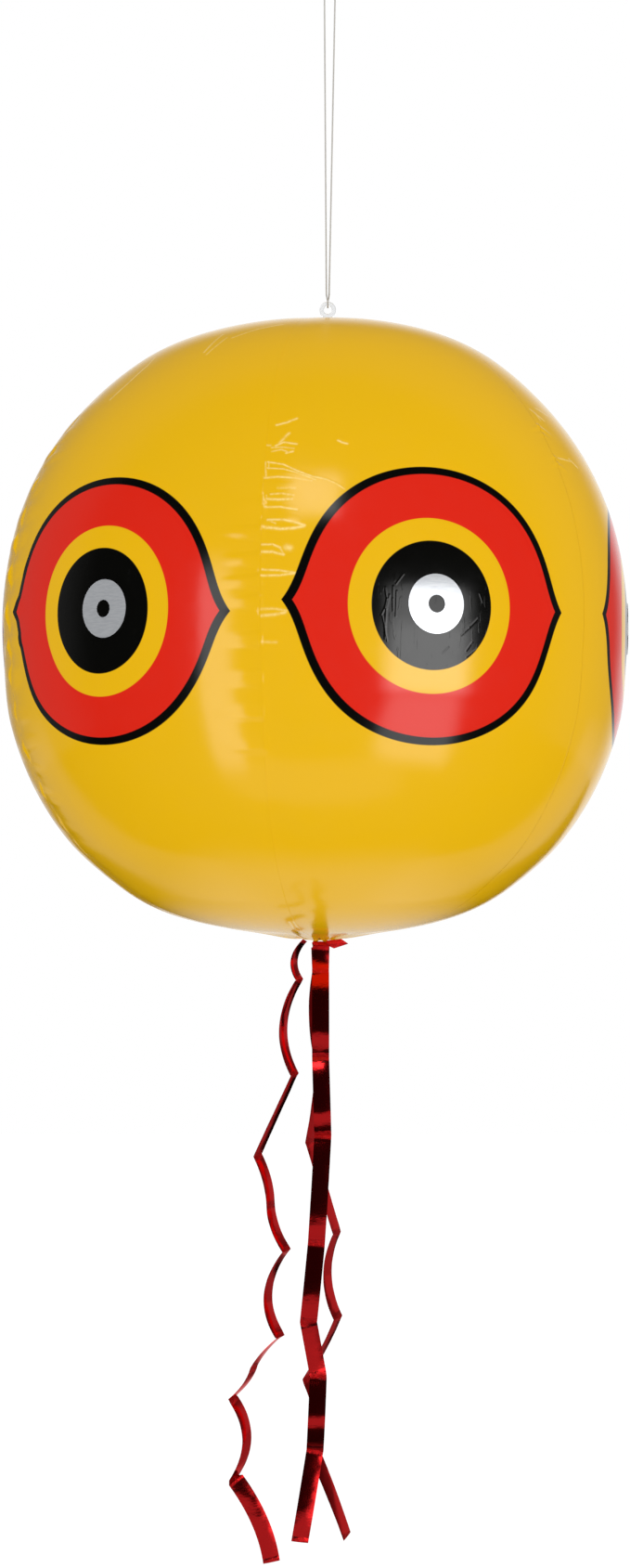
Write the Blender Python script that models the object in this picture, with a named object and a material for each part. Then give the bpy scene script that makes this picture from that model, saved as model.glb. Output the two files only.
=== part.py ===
"""A hanging inflatable bird scare balloon: a ball of six welded film gores with foil ring stickers, an
eyelet at each pole, an inflation valve, a doubled hanging cord and three foil streamers.

The origin is the top of the cord's loop, where a hook holds it. +Z is up, and the front faces -Y.
"""

import math

import bmesh
import bpy
from mathutils import Matrix, Vector

# Ball
BALL_RADIUS = 0.200
BALL_HALF_HEIGHT = 0.1965
SWELL_SHARE = 0.029
SWELL_SAG_SHARE = 0.0107
FILM_THICKNESS = 0.00025
TOUCH_GAP = 0.0003
GORE_COUNT = 6
FIRST_SEAM_DEG = -8.5
SEAM_LAP = 0.004
SEAM_STEP = 0.0008
SEAM_STEP_MOST_SHARE = 0.125
LAP_MOST_SHARE = 0.65
POLE_OPENING_RADIUS = 0.006
PEAK_HEIGHT = 0.002
PEAK_RADIUS = 0.030
TOP_EYELET_OFFSET = 0.0083
BOTTOM_EYELET_OFFSET = 0.0035
POLE_LEAN_POWER = 6
GORE_COLUMNS = 8
GORE_ROWS = 20

# Foil ring stickers, one in the middle of each printed eye
RING_OUTER_RADIUS = 0.0164
RING_INNER_RADIUS = 0.0049
RING_THICKNESS = 0.00015
RING_SEGMENTS = 24
EYE_DRIFTS_DEG = [-2.1, 1.8, -2.5, 0.0, -1.0, 2.1]

# Moulded eyelets at the poles
EYELET_OUTER_RADIUS = 0.0053
EYELET_HOLE_RADIUS = 0.00265
EYELET_THICKNESS = 0.0020
EYELET_BASE_RADIUS = 0.012
EYELET_BASE_THICKNESS = 0.0006
EYELET_NECK_WIDTH = 0.0056
EYELET_NECK_THICKNESS = 0.0018
TOP_EYELET_RISE = 0.0102
BOTTOM_EYELET_RISE = 0.0040
EYELET_SEGMENTS = 28

# Inflation valve on the lower right of the ball
VALVE_LONGITUDE_DEG = 125.0
VALVE_LATITUDE_DEG = -45.0
VALVE_FLANGE_RADIUS = 0.020
VALVE_FLANGE_THICKNESS = 0.0008
FILM_HOLE_RADIUS = 0.0130
MEMBRANE_OUTER_RADIUS = 0.0112
MEMBRANE_WALL = 0.0006
MEMBRANE_DEPTH = 0.009
STEM_RADIUS = 0.0065
STEM_BORE_RADIUS = 0.0040
STEM_LENGTH = 0.024
LIP_RADIUS = 0.0082
LIP_THICKNESS = 0.0012
PLUG_LENGTH = 0.010
PLUG_HEAD_RADIUS = 0.0075
PLUG_HEAD_THICKNESS = 0.0018
PLUG_TAPER = 0.0004
STRAP_WIDTH = 0.0035
STRAP_THICKNESS = 0.0008
STRAP_REACH = 0.0120
STRAP_STEPS = 10
FLAP_RADIUS = 0.0054
FLAP_THICKNESS = 0.0005
FLAP_GAP = 0.0004
VALVE_SEGMENTS = 24

# Hanging cord: one cord, doubled, its ends joined by a barrel knot near the top
CORD_DIAMETER = 0.0010
HANG_LENGTH = 0.228
LOOP_RADIUS = 0.00355
EYELET_SIDE_SHIFT = 0.00135
STRAND_SPREAD = 0.0009
BIGHT_RISE = 0.0100
BIGHT_DEPTH = 0.0019
BIGHT_NECK_SPREAD = 0.0007
BIGHT_STEPS = 6
CORD_FLEX_GAP = 0.0006
LOOP_DROP = 0.0050
LOOP_STEPS = 12
KNOT_LENGTH = 0.0066
KNOT_TURNS = 4
KNOT_RADIUS = 0.0017
KNOT_WAIST = 0.0004
KNOT_VALLEY_SHARE = 0.4
KNOT_CREST_SHARE = 0.15
KNOT_SEGMENTS = 14
CORD_TAIL_LENGTH = 0.0060
CORD_TAIL_LEAN_DEG = 14.0
CORD_TAIL_STAND_OFF = 0.0008
CORD_TAIL_SEGMENTS = 8
CORD_POINT_STEP = 0.0056
CORD_SIDES_RESOLUTION = 2

# Streamers: strips of metallised film, kinked where they were folded in the pack
STREAMER_WIDTH = 0.0100
STREAMER_THICKNESS = 0.0003
STREAMER_DROP = 0.4040
STREAMER_REACH = 0.060
CURL_DEG = 40.0
STREAMER_SPANS = 4
PANEL_STEPS = 5
KNOT_LUMP_RADII = (0.0062, 0.0024, 0.0026)
KNOT_LUMP_FORWARD = 0.0052
BAND_RADIUS = 0.0009
BAND_LOOP_RADIUS = 0.0041
BAND_SIDES = 8
TAIL_LENGTH = 0.0130
TAIL_WIDTH = 0.0060
TAIL_ROOT_WIDTH = 0.0036
TAIL_TIP_SHARE = 0.45
TAIL_RISE_DEG = 12.0

# Each row is one fold: its drop as a share of STREAMER_DROP, its place to the side, its place in
# depth and the bow of the panel above it as shares of STREAMER_REACH, and the turn of the strip
# about the vertical in degrees, which is 0 where it faces the front.
LEFT_FOLD_SHARES = [
    (0.003, -0.105, 0.033, 0.000, 64),
    (0.057, -0.163, 0.033, -0.088, 63),
    (0.209, -0.216, 0.025, -0.150, 58),
    (0.338, -0.617, 0.000, 0.000, 60),
    (0.417, -0.477, 0.017, 0.030, 59),
    (0.492, -0.303, 0.025, -0.040, 58),
    (0.631, -0.372, 0.040, -0.167, 55),
    (0.680, -0.658, 0.030, -0.030, 58),
    (0.728, -0.889, 0.020, 0.035, 57),
    (0.856, -0.873, 0.000, 0.147, 50),
    (0.993, -0.470, 0.025, 0.068, 38),
]
FRONT_FOLD_SHARES = [
    (0.001, 0.065, -0.145, 0.000, 0),
    (0.039, 0.059, -0.233, -0.017, 0),
    (0.177, 0.060, -0.200, -0.117, 0),
    (0.300, 0.084, -0.233, -0.108, 0),
    (0.467, 0.015, -0.333, -0.100, 0),
    (0.591, -0.069, -0.400, -0.033, 0),
    (0.686, 0.035, -0.200, 0.008, 0),
    (0.808, 0.000, -0.250, -0.117, 0),
    (0.946, -0.162, -0.367, -0.033, 0),
]
REAR_FOLD_SHARES = [
    (0.005, 0.022, 0.160, 0.000, 45),
    (0.045, 0.030, 0.183, 0.000, 45),
    (0.191, 0.056, 0.233, -0.050, 45),
    (0.323, -0.056, 0.267, 0.020, 45),
    (0.474, 0.244, 0.300, 0.000, 46),
    (0.611, 0.256, 0.283, -0.110, 42),
    (0.709, -0.087, 0.300, 0.020, 42),
    (0.840, 0.025, 0.283, 0.075, 40),
    (0.968, 0.356, 0.300, 0.010, 37),
]

# How fine the meshes are joined, shaded and measured
MERGE_DISTANCE = 0.000003
SHARP_ANGLE_DEG = 35.0
SLOPE_STEP_DEG = 0.05

# Places worked out from the sizes above
EYELET_X = -EYELET_SIDE_SHIFT
HOLE_Z = -HANG_LENGTH
CENTRE_Z = HOLE_Z - TOP_EYELET_RISE - PEAK_HEIGHT - BALL_HALF_HEIGHT
BALL_CENTRE = Vector((EYELET_X - TOP_EYELET_OFFSET, 0, CENTRE_Z))
TOP_HOLE = Vector((EYELET_X, 0, HOLE_Z))
BOTTOM_HOLE = BALL_CENTRE + Vector(
    (BOTTOM_EYELET_OFFSET, 0, -BALL_HALF_HEIGHT - PEAK_HEIGHT - BOTTOM_EYELET_RISE)
)
GORE_ANGLE = 2 * math.pi / GORE_COUNT
CORD_RADIUS = CORD_DIAMETER / 2
BIGHT_TOP_Z = HOLE_Z + BIGHT_RISE
BIGHT_REST_Z = HOLE_Z + EYELET_HOLE_RADIUS - TOUCH_GAP - CORD_RADIUS
LOOP_CENTRE_Z = -CORD_RADIUS - LOOP_RADIUS
LOOP_END_Z = LOOP_CENTRE_Z - LOOP_DROP
KNOT_END_Z = LOOP_END_Z - 2 * TOUCH_GAP - KNOT_LENGTH
STREAMER_TOP = Vector((BALL_CENTRE.x, 0, BOTTOM_HOLE.z))


def clear_scene():
    for old in list(bpy.data.objects):
        bpy.data.objects.remove(old, do_unlink=True)


def make_material(name, colour, roughness, metallic=0.0, alpha=1.0):
    material = bpy.data.materials.new(name)
    material.use_nodes = True
    shader = material.node_tree.nodes["Principled BSDF"]
    shader.inputs["Base Color"].default_value = (*colour, 1)
    shader.inputs["Roughness"].default_value = roughness
    shader.inputs["Metallic"].default_value = metallic
    shader.inputs["Alpha"].default_value = alpha
    material.diffuse_color = (*colour, alpha)
    return material


def add_pivot(name, place, parent=None):
    """An empty on a joint's axis, which carries the pieces that move with it."""
    pivot = bpy.data.objects.new(name, None)
    pivot.empty_display_size = EYELET_BASE_RADIUS
    bpy.context.scene.collection.objects.link(pivot)
    attach(pivot, Vector(place), parent)
    return pivot


def attach(obj, place, parent):
    """Puts an object at a place given in the part's frame, under its parent."""
    obj["place"] = tuple(place)
    obj.location = place
    if parent:
        obj.parent = parent
        obj.location = place - Vector(parent["place"])


def add_piece(name, shape, material, parent):
    """Turns a bmesh in the part's frame into an object whose origin is at its parent's."""
    place = Vector(parent["place"])
    bmesh.ops.remove_doubles(shape, verts=shape.verts, dist=MERGE_DISTANCE)
    bmesh.ops.recalc_face_normals(shape, faces=shape.faces)
    bmesh.ops.transform(shape, matrix=Matrix.Translation(-place), verts=shape.verts)
    mesh = bpy.data.meshes.new(name)
    shape.to_mesh(mesh)
    shape.free()
    mesh.materials.append(material)
    mesh.shade_smooth()
    mesh.set_sharp_from_angle(angle=math.radians(SHARP_ANGLE_DEG))
    obj = bpy.data.objects.new(name, mesh)
    bpy.context.scene.collection.objects.link(obj)
    attach(obj, place, parent)
    return obj


def add_cutter(name, shape, parent):
    cutter = add_piece(name, shape, None, parent)
    cutter.hide_render = True
    cutter.display_type = "WIRE"
    return cutter


def combine(target, tool, operation):
    """Joins or cuts a piece with another shape, and drops the tool."""
    change = target.modifiers.new(operation.title(), "BOOLEAN")
    change.operation = operation
    change.solver = "EXACT"
    change.object = tool
    graph = bpy.context.evaluated_depsgraph_get()
    result = bpy.data.meshes.new_from_object(target.evaluated_get(graph))
    target.modifiers.remove(change)
    old, target.data = target.data, result
    bpy.data.meshes.remove(old)
    bpy.data.objects.remove(tool, do_unlink=True)


def sheet_of(points, closed=False):
    """Faces over a grid of points, as (bmesh, the rows of its vertices)."""
    shape = bmesh.new()
    rows = [[shape.verts.new(p) for p in row] for row in points]
    last = len(rows) if closed else len(rows) - 1
    for i in range(last):
        first, second = rows[i], rows[(i + 1) % len(rows)]
        for j in range(len(first) - 1):
            shape.faces.new((first[j], first[j + 1], second[j + 1], second[j]))
    return shape, rows


def shell_of(outer, inner, closed=False):
    """A closed wall between two grids of points of the same size."""
    shape, tops = sheet_of(outer, closed)
    bottoms = [[shape.verts.new(p) for p in row] for row in inner]
    last = len(bottoms) if closed else len(bottoms) - 1
    for i in range(last):
        first, second = bottoms[i], bottoms[(i + 1) % len(bottoms)]
        for j in range(len(first) - 1):
            shape.faces.new((first[j], second[j], second[j + 1], first[j + 1]))
    for side in (0, -1):
        for i in range(last):
            after = (i + 1) % len(tops)
            shape.faces.new(
                (tops[i][side], tops[after][side], bottoms[after][side], bottoms[i][side])
            )
    if not closed:
        for row in (0, -1):
            for j in range(len(tops[0]) - 1):
                shape.faces.new(
                    (tops[row][j], tops[row][j + 1], bottoms[row][j + 1], bottoms[row][j])
                )
    return shape


def turned(outline, segments, matrix):
    """A solid turned about Z from (radius, height) points, from axis to axis or closed on itself."""
    shape = bmesh.new()
    rings = []
    for radius, height in outline:
        if radius == 0:
            rings.append([shape.verts.new((0, 0, height))] * segments)
            continue
        rings.append(
            [
                shape.verts.new(
                    (radius * math.cos(turn), radius * math.sin(turn), height)
                )
                for turn in (2 * math.pi * k / segments for k in range(segments))
            ]
        )
    on_axis = outline[0][0] == 0 and outline[-1][0] == 0
    count = len(rings) - 1 if on_axis else len(rings)
    for i in range(count):
        low, high = rings[i], rings[(i + 1) % len(rings)]
        for k in range(segments):
            after = (k + 1) % segments
            corners = [low[k], low[after], high[after], high[k]]
            shape.faces.new(list(dict.fromkeys(corners)))
    bmesh.ops.transform(shape, matrix=matrix, verts=shape.verts)
    return shape


def film_peak(radius):
    """How far the film is drawn out towards an eyelet, at a distance from the pole."""
    return PEAK_HEIGHT * math.exp(-((radius / PEAK_RADIUS) ** 2))


def swell(latitude):
    """How much fuller the ball is than an ellipsoid. It is most halfway to a pole, and more below."""
    share = SWELL_SHARE - SWELL_SAG_SHARE * math.sin(latitude)
    return 1 + share * math.sin(2 * latitude) ** 2


def film_radius(latitude, out=0.0):
    return (BALL_RADIUS + out) * math.cos(latitude) * swell(latitude)


def film_height(radius, side):
    """How far the film is from the ball's middle, at a small distance from the pole on one side."""
    latitude = side * math.acos(radius / BALL_RADIUS)
    return BALL_HALF_HEIGHT * abs(math.sin(latitude)) * swell(latitude) + film_peak(radius)


def ball_point(longitude, latitude, out=0.0):
    """A point on the film's outer face, or out from it. Longitude runs from the front towards +X."""
    radius = film_radius(latitude, out)
    height = (BALL_HALF_HEIGHT + out) * math.sin(latitude) * swell(latitude)
    height += math.copysign(film_peak(radius), latitude)
    offset = TOP_EYELET_OFFSET if latitude > 0 else BOTTOM_EYELET_OFFSET
    lean = offset * abs(math.sin(latitude)) ** POLE_LEAN_POWER
    return BALL_CENTRE + Vector(
        (radius * math.sin(longitude) + lean, -radius * math.cos(longitude), height)
    )


def surface_matrix(longitude, latitude, out=0.0):
    """A frame on the film: Z out of the ball, X towards rising longitude, Y up the ball."""
    step = math.radians(SLOPE_STEP_DEG)
    place = ball_point(longitude, latitude, out)
    along = ball_point(longitude + step, latitude) - ball_point(longitude - step, latitude)
    up = ball_point(longitude, latitude + step) - ball_point(longitude, latitude - step)
    along.normalize()
    normal = along.cross(up).normalized()
    up = normal.cross(along)
    turn = Matrix((along, up, normal)).transposed()
    return Matrix.Translation(place) @ turn.to_4x4()


def on_film(longitude, latitude, radius, turn, out):
    """A point of the film at a distance and a direction, both measured along it, from a middle."""
    step = math.radians(SLOPE_STEP_DEG)
    rise = ball_point(longitude, latitude + step) - ball_point(longitude, latitude - step)
    up = radius * math.sin(turn) * 2 * step / rise.length
    side = radius * math.cos(turn) / film_radius(latitude + up)
    return ball_point(longitude + side, latitude + up, out)


def film_ring(longitude, latitude, inner, outer, out, thickness, segments):
    """A flat ring that lies on the ball, such as a sticker or a valve's flange."""
    turns = [2 * math.pi * k / segments for k in range(segments)]
    faces = [
        [
            [on_film(longitude, latitude, r, turn, out + lift) for r in (inner, outer)]
            for turn in turns
        ]
        for lift in (thickness, 0)
    ]
    return shell_of(*faces, closed=True)


def gore_longitude(index):
    return math.radians(FIRST_SEAM_DEG) + index * GORE_ANGLE


def eye_longitude(index):
    middle = gore_longitude(index) + GORE_ANGLE / 2
    return middle + math.radians(EYE_DRIFTS_DEG[index])


def gore_row(index, latitude, out):
    """One row of a gore from seam to seam, and on under the next gore as the welded lap."""
    across = film_radius(latitude)
    start = gore_longitude(index) + TOUCH_GAP / across
    end = gore_longitude(index + 1) - min(SEAM_STEP / across, GORE_ANGLE * SEAM_STEP_MOST_SHARE)
    row = [
        ball_point(start + (end - start) * k / GORE_COLUMNS, latitude, out)
        for k in range(GORE_COLUMNS + 1)
    ]
    under = out - FILM_THICKNESS - TOUCH_GAP
    for lap in (0, SEAM_LAP / 2, SEAM_LAP):
        turn = min(lap / across, GORE_ANGLE * LAP_MOST_SHARE)
        row.append(ball_point(gore_longitude(index + 1) + turn, latitude, under))
    return row


def make_gore(index, material, parent):
    most = math.acos(POLE_OPENING_RADIUS / BALL_RADIUS)
    shares = [2 * k / GORE_ROWS - 1 for k in range(GORE_ROWS + 1)]
    latitudes = [most * math.sin(math.pi / 2 * share) for share in shares]
    outer = [gore_row(index, latitude, 0) for latitude in latitudes]
    inner = [gore_row(index, latitude, -FILM_THICKNESS) for latitude in latitudes]
    return add_piece(f"gore_{index + 1}", shell_of(outer, inner), material, parent)


def cut_valve_hole(gore, parent):
    """The hole in the film under the valve's flange."""
    reach = VALVE_FLANGE_RADIUS
    outline = [(0, -reach), (FILM_HOLE_RADIUS, -reach), (FILM_HOLE_RADIUS, reach), (0, reach)]
    shape = turned(outline, VALVE_SEGMENTS, valve_matrix())
    cutter = add_cutter("valve_hole_cutter", shape, parent)
    combine(gore, cutter, "DIFFERENCE")


def make_foil_ring(index, material, parent):
    shape = film_ring(
        eye_longitude(index),
        0.0,
        RING_INNER_RADIUS,
        RING_OUTER_RADIUS,
        TOUCH_GAP,
        RING_THICKNESS,
        RING_SEGMENTS,
    )
    return add_piece(f"foil_ring_{index + 1}", shape, material, parent)


def box_between(low, high):
    shape = bmesh.new()
    bmesh.ops.create_cube(shape, size=1.0)
    low, high = Vector(low), Vector(high)
    bmesh.ops.scale(shape, vec=high - low, verts=shape.verts)
    bmesh.ops.translate(shape, vec=(low + high) / 2, verts=shape.verts)
    return shape


def eyelet_base(pole, side):
    """The round foot of an eyelet, which follows the film with a gap. side is 1 at the top and -1 below."""
    radii = [EYELET_BASE_RADIUS * share for share in (0, 1 / 3, 2 / 3, 1)]
    low = [(r, side * (film_height(r, side) + TOUCH_GAP)) for r in radii]
    high = [(r, height + side * EYELET_BASE_THICKNESS) for r, height in low]
    return turned(low + high[::-1], EYELET_SEGMENTS, Matrix.Translation(pole))


def make_eyelet(name, hole, offset, side, material, parent):
    """A flat ring that stands on a round foot, joined by a short neck. Its hole runs along Y."""
    across = Matrix.Translation(hole) @ Matrix.Rotation(math.pi / 2, 4, "X")
    half = EYELET_THICKNESS / 2
    ring = [
        (EYELET_HOLE_RADIUS, -half),
        (EYELET_OUTER_RADIUS, -half),
        (EYELET_OUTER_RADIUS, half),
        (EYELET_HOLE_RADIUS, half),
    ]
    pole = BALL_CENTRE + Vector((offset, 0, 0))
    eyelet = add_piece(name, turned(ring, EYELET_SEGMENTS, across), material, parent)
    foot_z = pole.z + side * (film_height(0, side) + TOUCH_GAP + EYELET_BASE_THICKNESS / 2)
    ring_z = hole.z - side * (EYELET_HOLE_RADIUS + EYELET_OUTER_RADIUS) / 2
    if abs(foot_z - hole.z) > EYELET_OUTER_RADIUS:
        width = EYELET_NECK_WIDTH / 2
        depth = EYELET_NECK_THICKNESS / 2
        neck = box_between(
            (hole.x - width, -depth, min(foot_z, ring_z)),
            (hole.x + width, depth, max(foot_z, ring_z)),
        )
        combine(eyelet, add_cutter(name + "_neck", neck, parent), "UNION")
    combine(eyelet, add_cutter(name + "_base", eyelet_base(pole, side), parent), "UNION")
    return eyelet


def valve_matrix(out=0.0):
    return surface_matrix(
        math.radians(VALVE_LONGITUDE_DEG), math.radians(VALVE_LATITUDE_DEG), out
    )


def make_valve(materials, balloon):
    """The flange, rolled membrane, stem, plug, strap and check flap, from the flange's outer face in."""
    vinyl = materials["clear_vinyl"]
    face = TOUCH_GAP + VALVE_FLANGE_THICKNESS
    matrix = valve_matrix(face)
    flange_bore = MEMBRANE_OUTER_RADIUS + TOUCH_GAP
    flange = film_ring(
        math.radians(VALVE_LONGITUDE_DEG),
        math.radians(VALVE_LATITUDE_DEG),
        flange_bore,
        VALVE_FLANGE_RADIUS,
        TOUCH_GAP,
        VALVE_FLANGE_THICKNESS,
        VALVE_SEGMENTS,
    )
    add_piece("valve_flange", flange, vinyl, balloon)

    membrane_inner = STEM_RADIUS + TOUCH_GAP
    trough = [
        (MEMBRANE_OUTER_RADIUS, 0),
        (MEMBRANE_OUTER_RADIUS, -MEMBRANE_DEPTH),
        (membrane_inner, -MEMBRANE_DEPTH),
        (membrane_inner, -MEMBRANE_WALL),
        (membrane_inner + MEMBRANE_WALL, -MEMBRANE_WALL),
        (membrane_inner + MEMBRANE_WALL, MEMBRANE_WALL - MEMBRANE_DEPTH),
        (MEMBRANE_OUTER_RADIUS - MEMBRANE_WALL, MEMBRANE_WALL - MEMBRANE_DEPTH),
        (MEMBRANE_OUTER_RADIUS - MEMBRANE_WALL, 0),
    ]
    add_piece("valve_membrane", turned(trough, VALVE_SEGMENTS, matrix), vinyl, balloon)

    stem_pivot = add_pivot("valve_stem_slide", matrix.translation, balloon)
    tube = [
        (STEM_BORE_RADIUS, -STEM_LENGTH),
        (STEM_RADIUS, -STEM_LENGTH),
        (STEM_RADIUS, 0),
        (LIP_RADIUS, 0),
        (LIP_RADIUS, LIP_THICKNESS),
        (STEM_BORE_RADIUS, LIP_THICKNESS),
    ]
    add_piece("valve_stem", turned(tube, VALVE_SEGMENTS, matrix), vinyl, stem_pivot)

    plug_pivot = add_pivot("valve_plug_slide", matrix.translation, stem_pivot)
    head = LIP_THICKNESS + TOUCH_GAP
    plug_radius = STEM_BORE_RADIUS - TOUCH_GAP
    plug = [
        (0, head - PLUG_LENGTH),
        (plug_radius - PLUG_TAPER, head - PLUG_LENGTH),
        (plug_radius, head - PLUG_LENGTH + 2 * PLUG_TAPER),
        (plug_radius, head),
        (PLUG_HEAD_RADIUS, head),
        (PLUG_HEAD_RADIUS, head + PLUG_HEAD_THICKNESS),
        (0, head + PLUG_HEAD_THICKNESS),
    ]
    add_piece("valve_plug", turned(plug, VALVE_SEGMENTS, matrix), vinyl, plug_pivot)
    make_strap(matrix, vinyl, stem_pivot, head)
    make_flap(matrix, vinyl, stem_pivot)


def make_strap(matrix, material, parent, head):
    """The flat strap that keeps the plug, in a bow from the stem's lip back to the plug's head."""
    start = Vector((LIP_RADIUS + TOUCH_GAP, 0, LIP_THICKNESS / 2))
    end = Vector((PLUG_HEAD_RADIUS + TOUCH_GAP, 0, head + PLUG_HEAD_THICKNESS / 2))
    reach = Vector((STRAP_REACH, 0, 0))
    half = Vector((0, STRAP_WIDTH / 2, 0))
    lines = []
    for k in range(STRAP_STEPS + 1):
        t = k / STRAP_STEPS
        place = (
            start * (1 - t) ** 3
            + 3 * (start + reach) * t * (1 - t) ** 2
            + 3 * (end + reach) * t**2 * (1 - t)
            + end * t**3
        )
        bulge = STRAP_THICKNESS / 2 * Vector((math.sin(math.pi * t), 0, -math.cos(math.pi * t)))
        lines.append((place + bulge, place - bulge))
    sides = [
        [[line[face] - half, line[face] + half] for line in lines] for face in (0, 1)
    ]
    shape = shell_of(*sides)
    bmesh.ops.transform(shape, matrix=matrix, verts=shape.verts)
    add_piece("valve_strap", shape, material, parent)


def make_flap(matrix, material, parent):
    """The check flap under the stem, which turns on one edge."""
    top = -STEM_LENGTH - FLAP_GAP
    hinge = matrix @ Vector((FLAP_RADIUS, 0, top))
    bottom = top - FLAP_THICKNESS
    outline = [(0, bottom), (FLAP_RADIUS, bottom), (FLAP_RADIUS, top), (0, top)]
    pivot = add_pivot("valve_flap_hinge", hinge, parent)
    add_piece("valve_flap", turned(outline, VALVE_SEGMENTS, matrix), material, pivot)


def add_tube(name, points, material, parent, place):
    """A round cord along points given in the part's frame."""
    curve = bpy.data.curves.new(name, "CURVE")
    curve.dimensions = "3D"
    curve.bevel_depth = CORD_RADIUS
    curve.bevel_resolution = CORD_SIDES_RESOLUTION
    curve.use_fill_caps = True
    spline = curve.splines.new("POLY")
    spline.points.add(len(points) - 1)
    for point, where in zip(spline.points, points, strict=True):
        point.co = (*(Vector(where) - place), 1)
    curve.materials.append(material)
    obj = bpy.data.objects.new(name, curve)
    bpy.context.scene.collection.objects.link(obj)
    attach(obj, place, parent)
    return obj


def straight_points(start, end):
    count = max(2, round((end - start).length / CORD_POINT_STEP))
    return [start.lerp(end, k / count) for k in range(count + 1)]


def loop_points():
    """Over the hook from the left strand to the right one, with short straight ends."""
    left = Vector((-LOOP_RADIUS, 0, KNOT_END_Z))
    right = Vector((LOOP_RADIUS, 0, LOOP_END_Z))
    arc = [
        Vector((-LOOP_RADIUS * math.cos(turn), 0, LOOP_CENTRE_Z + LOOP_RADIUS * math.sin(turn)))
        for turn in (math.pi * k / LOOP_STEPS for k in range(LOOP_STEPS + 1))
    ]
    return [left, left.lerp(arc[0], 0.5), *arc, right.lerp(arc[-1], 0.5), right]


def bight_points():
    """Down in front of the eyelet, through its hole against the upper edge, and up behind it."""
    crown_z = HOLE_Z + EYELET_OUTER_RADIUS
    half = []
    for k in range(BIGHT_STEPS + 1):
        turn = math.pi / 2 * k / BIGHT_STEPS
        rise = BIGHT_DEPTH * (1 - math.cos(turn))
        half.append(Vector((0, -BIGHT_DEPTH * math.sin(turn), BIGHT_REST_Z + rise)))
    half.append(Vector((0, -BIGHT_DEPTH, crown_z)))
    half.append(Vector((-BIGHT_NECK_SPREAD, -CORD_RADIUS, BIGHT_TOP_Z - CORD_DIAMETER)))
    half.append(Vector((-STRAND_SPREAD, 0, BIGHT_TOP_Z)))
    other = [Vector((-p.x, -p.y, p.z)) for p in half[1:]]
    return [p + Vector((EYELET_X, 0, 0)) for p in half[::-1] + other]


def make_knot(material, parent):
    """A barrel knot round the right strand: a row of close turns, with the two cut ends beside the cord."""
    top = LOOP_END_Z - TOUCH_GAP
    turn = KNOT_LENGTH / KNOT_TURNS
    outline = [(0, top), (CORD_RADIUS, top)]
    for k in range(KNOT_TURNS):
        middle = top - (k + 0.5) * turn
        outline.append((KNOT_RADIUS - KNOT_WAIST, middle + turn * KNOT_VALLEY_SHARE))
        outline.append((KNOT_RADIUS, middle + turn * KNOT_CREST_SHARE))
        outline.append((KNOT_RADIUS, middle - turn * KNOT_CREST_SHARE))
        outline.append((KNOT_RADIUS - KNOT_WAIST, middle - turn * KNOT_VALLEY_SHARE))
    outline += [(CORD_RADIUS, top - KNOT_LENGTH), (0, top - KNOT_LENGTH)]
    axis = Matrix.Translation((LOOP_RADIUS, 0, 0))
    knot = add_piece("cord_knot", turned(outline[::-1], KNOT_SEGMENTS, axis), material, parent)
    start = top - KNOT_LENGTH / 2
    for side in (1, -1):
        reach = side * (KNOT_LENGTH / 2 + CORD_TAIL_LENGTH)
        base = Vector((LOOP_RADIUS + CORD_TAIL_STAND_OFF, side * CORD_RADIUS, start))
        ends = [(0, 0), (CORD_RADIUS, 0), (CORD_RADIUS, reach), (0, reach)]
        lean = Matrix.Rotation(math.radians(side * CORD_TAIL_LEAN_DEG), 4, "Y")
        end = turned(ends, CORD_TAIL_SEGMENTS, Matrix.Translation(base) @ lean)
        combine(knot, add_cutter("cord_knot_end", end, parent), "UNION")
    return knot


def make_cord(material):
    """The loop over the hook, its knot, the two strands and the bight through the eyelet."""
    root = add_pivot("hanging_loop", (0, 0, 0))
    add_tube("cord_loop", loop_points(), material, root, Vector((0, 0, 0)))
    make_knot(material, root)
    swing = add_pivot("cord_swing", (0, 0, KNOT_END_Z - CORD_FLEX_GAP / 2), root)
    for name, side in (("cord_strand_left", -1), ("cord_strand_right", 1)):
        top = Vector((side * LOOP_RADIUS, 0, KNOT_END_Z - CORD_FLEX_GAP))
        bottom = Vector((EYELET_X + side * STRAND_SPREAD, 0, BIGHT_TOP_Z + CORD_FLEX_GAP))
        add_tube(name, straight_points(top, bottom), material, swing, Vector(swing["place"]))
    spin = add_pivot("ball_spin", (EYELET_X, 0, BIGHT_TOP_Z), swing)
    add_tube("cord_bight", bight_points(), material, spin, Vector(spin["place"]))
    return add_pivot("ball_rock", (EYELET_X, 0, BIGHT_REST_Z), spin)


def make_bottom_knot(material, parent):
    """The band that the streamers share, looped through the lower eyelet and knotted in front of it."""
    loop_centre = BOTTOM_HOLE - Vector((0, 0, BAND_LOOP_RADIUS))
    outline = [
        (BAND_LOOP_RADIUS + BAND_RADIUS * math.cos(turn), BAND_RADIUS * math.sin(turn))
        for turn in (2 * math.pi * k / BAND_SIDES for k in range(BAND_SIDES))
    ]
    across = Matrix.Translation(loop_centre) @ Matrix.Rotation(math.pi / 2, 4, "Y")
    knot = add_piece("streamer_knot", turned(outline, EYELET_SEGMENTS, across), material, parent)
    lump = bmesh.new()
    bmesh.ops.create_icosphere(lump, subdivisions=2, radius=1.0)
    bmesh.ops.scale(lump, vec=KNOT_LUMP_RADII, verts=lump.verts)
    bmesh.ops.translate(lump, vec=knot_place(), verts=lump.verts)
    combine(knot, add_cutter("streamer_knot_lump", lump, parent), "UNION")


def knot_place():
    return BOTTOM_HOLE + Vector((0, -KNOT_LUMP_FORWARD, 0))


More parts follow.
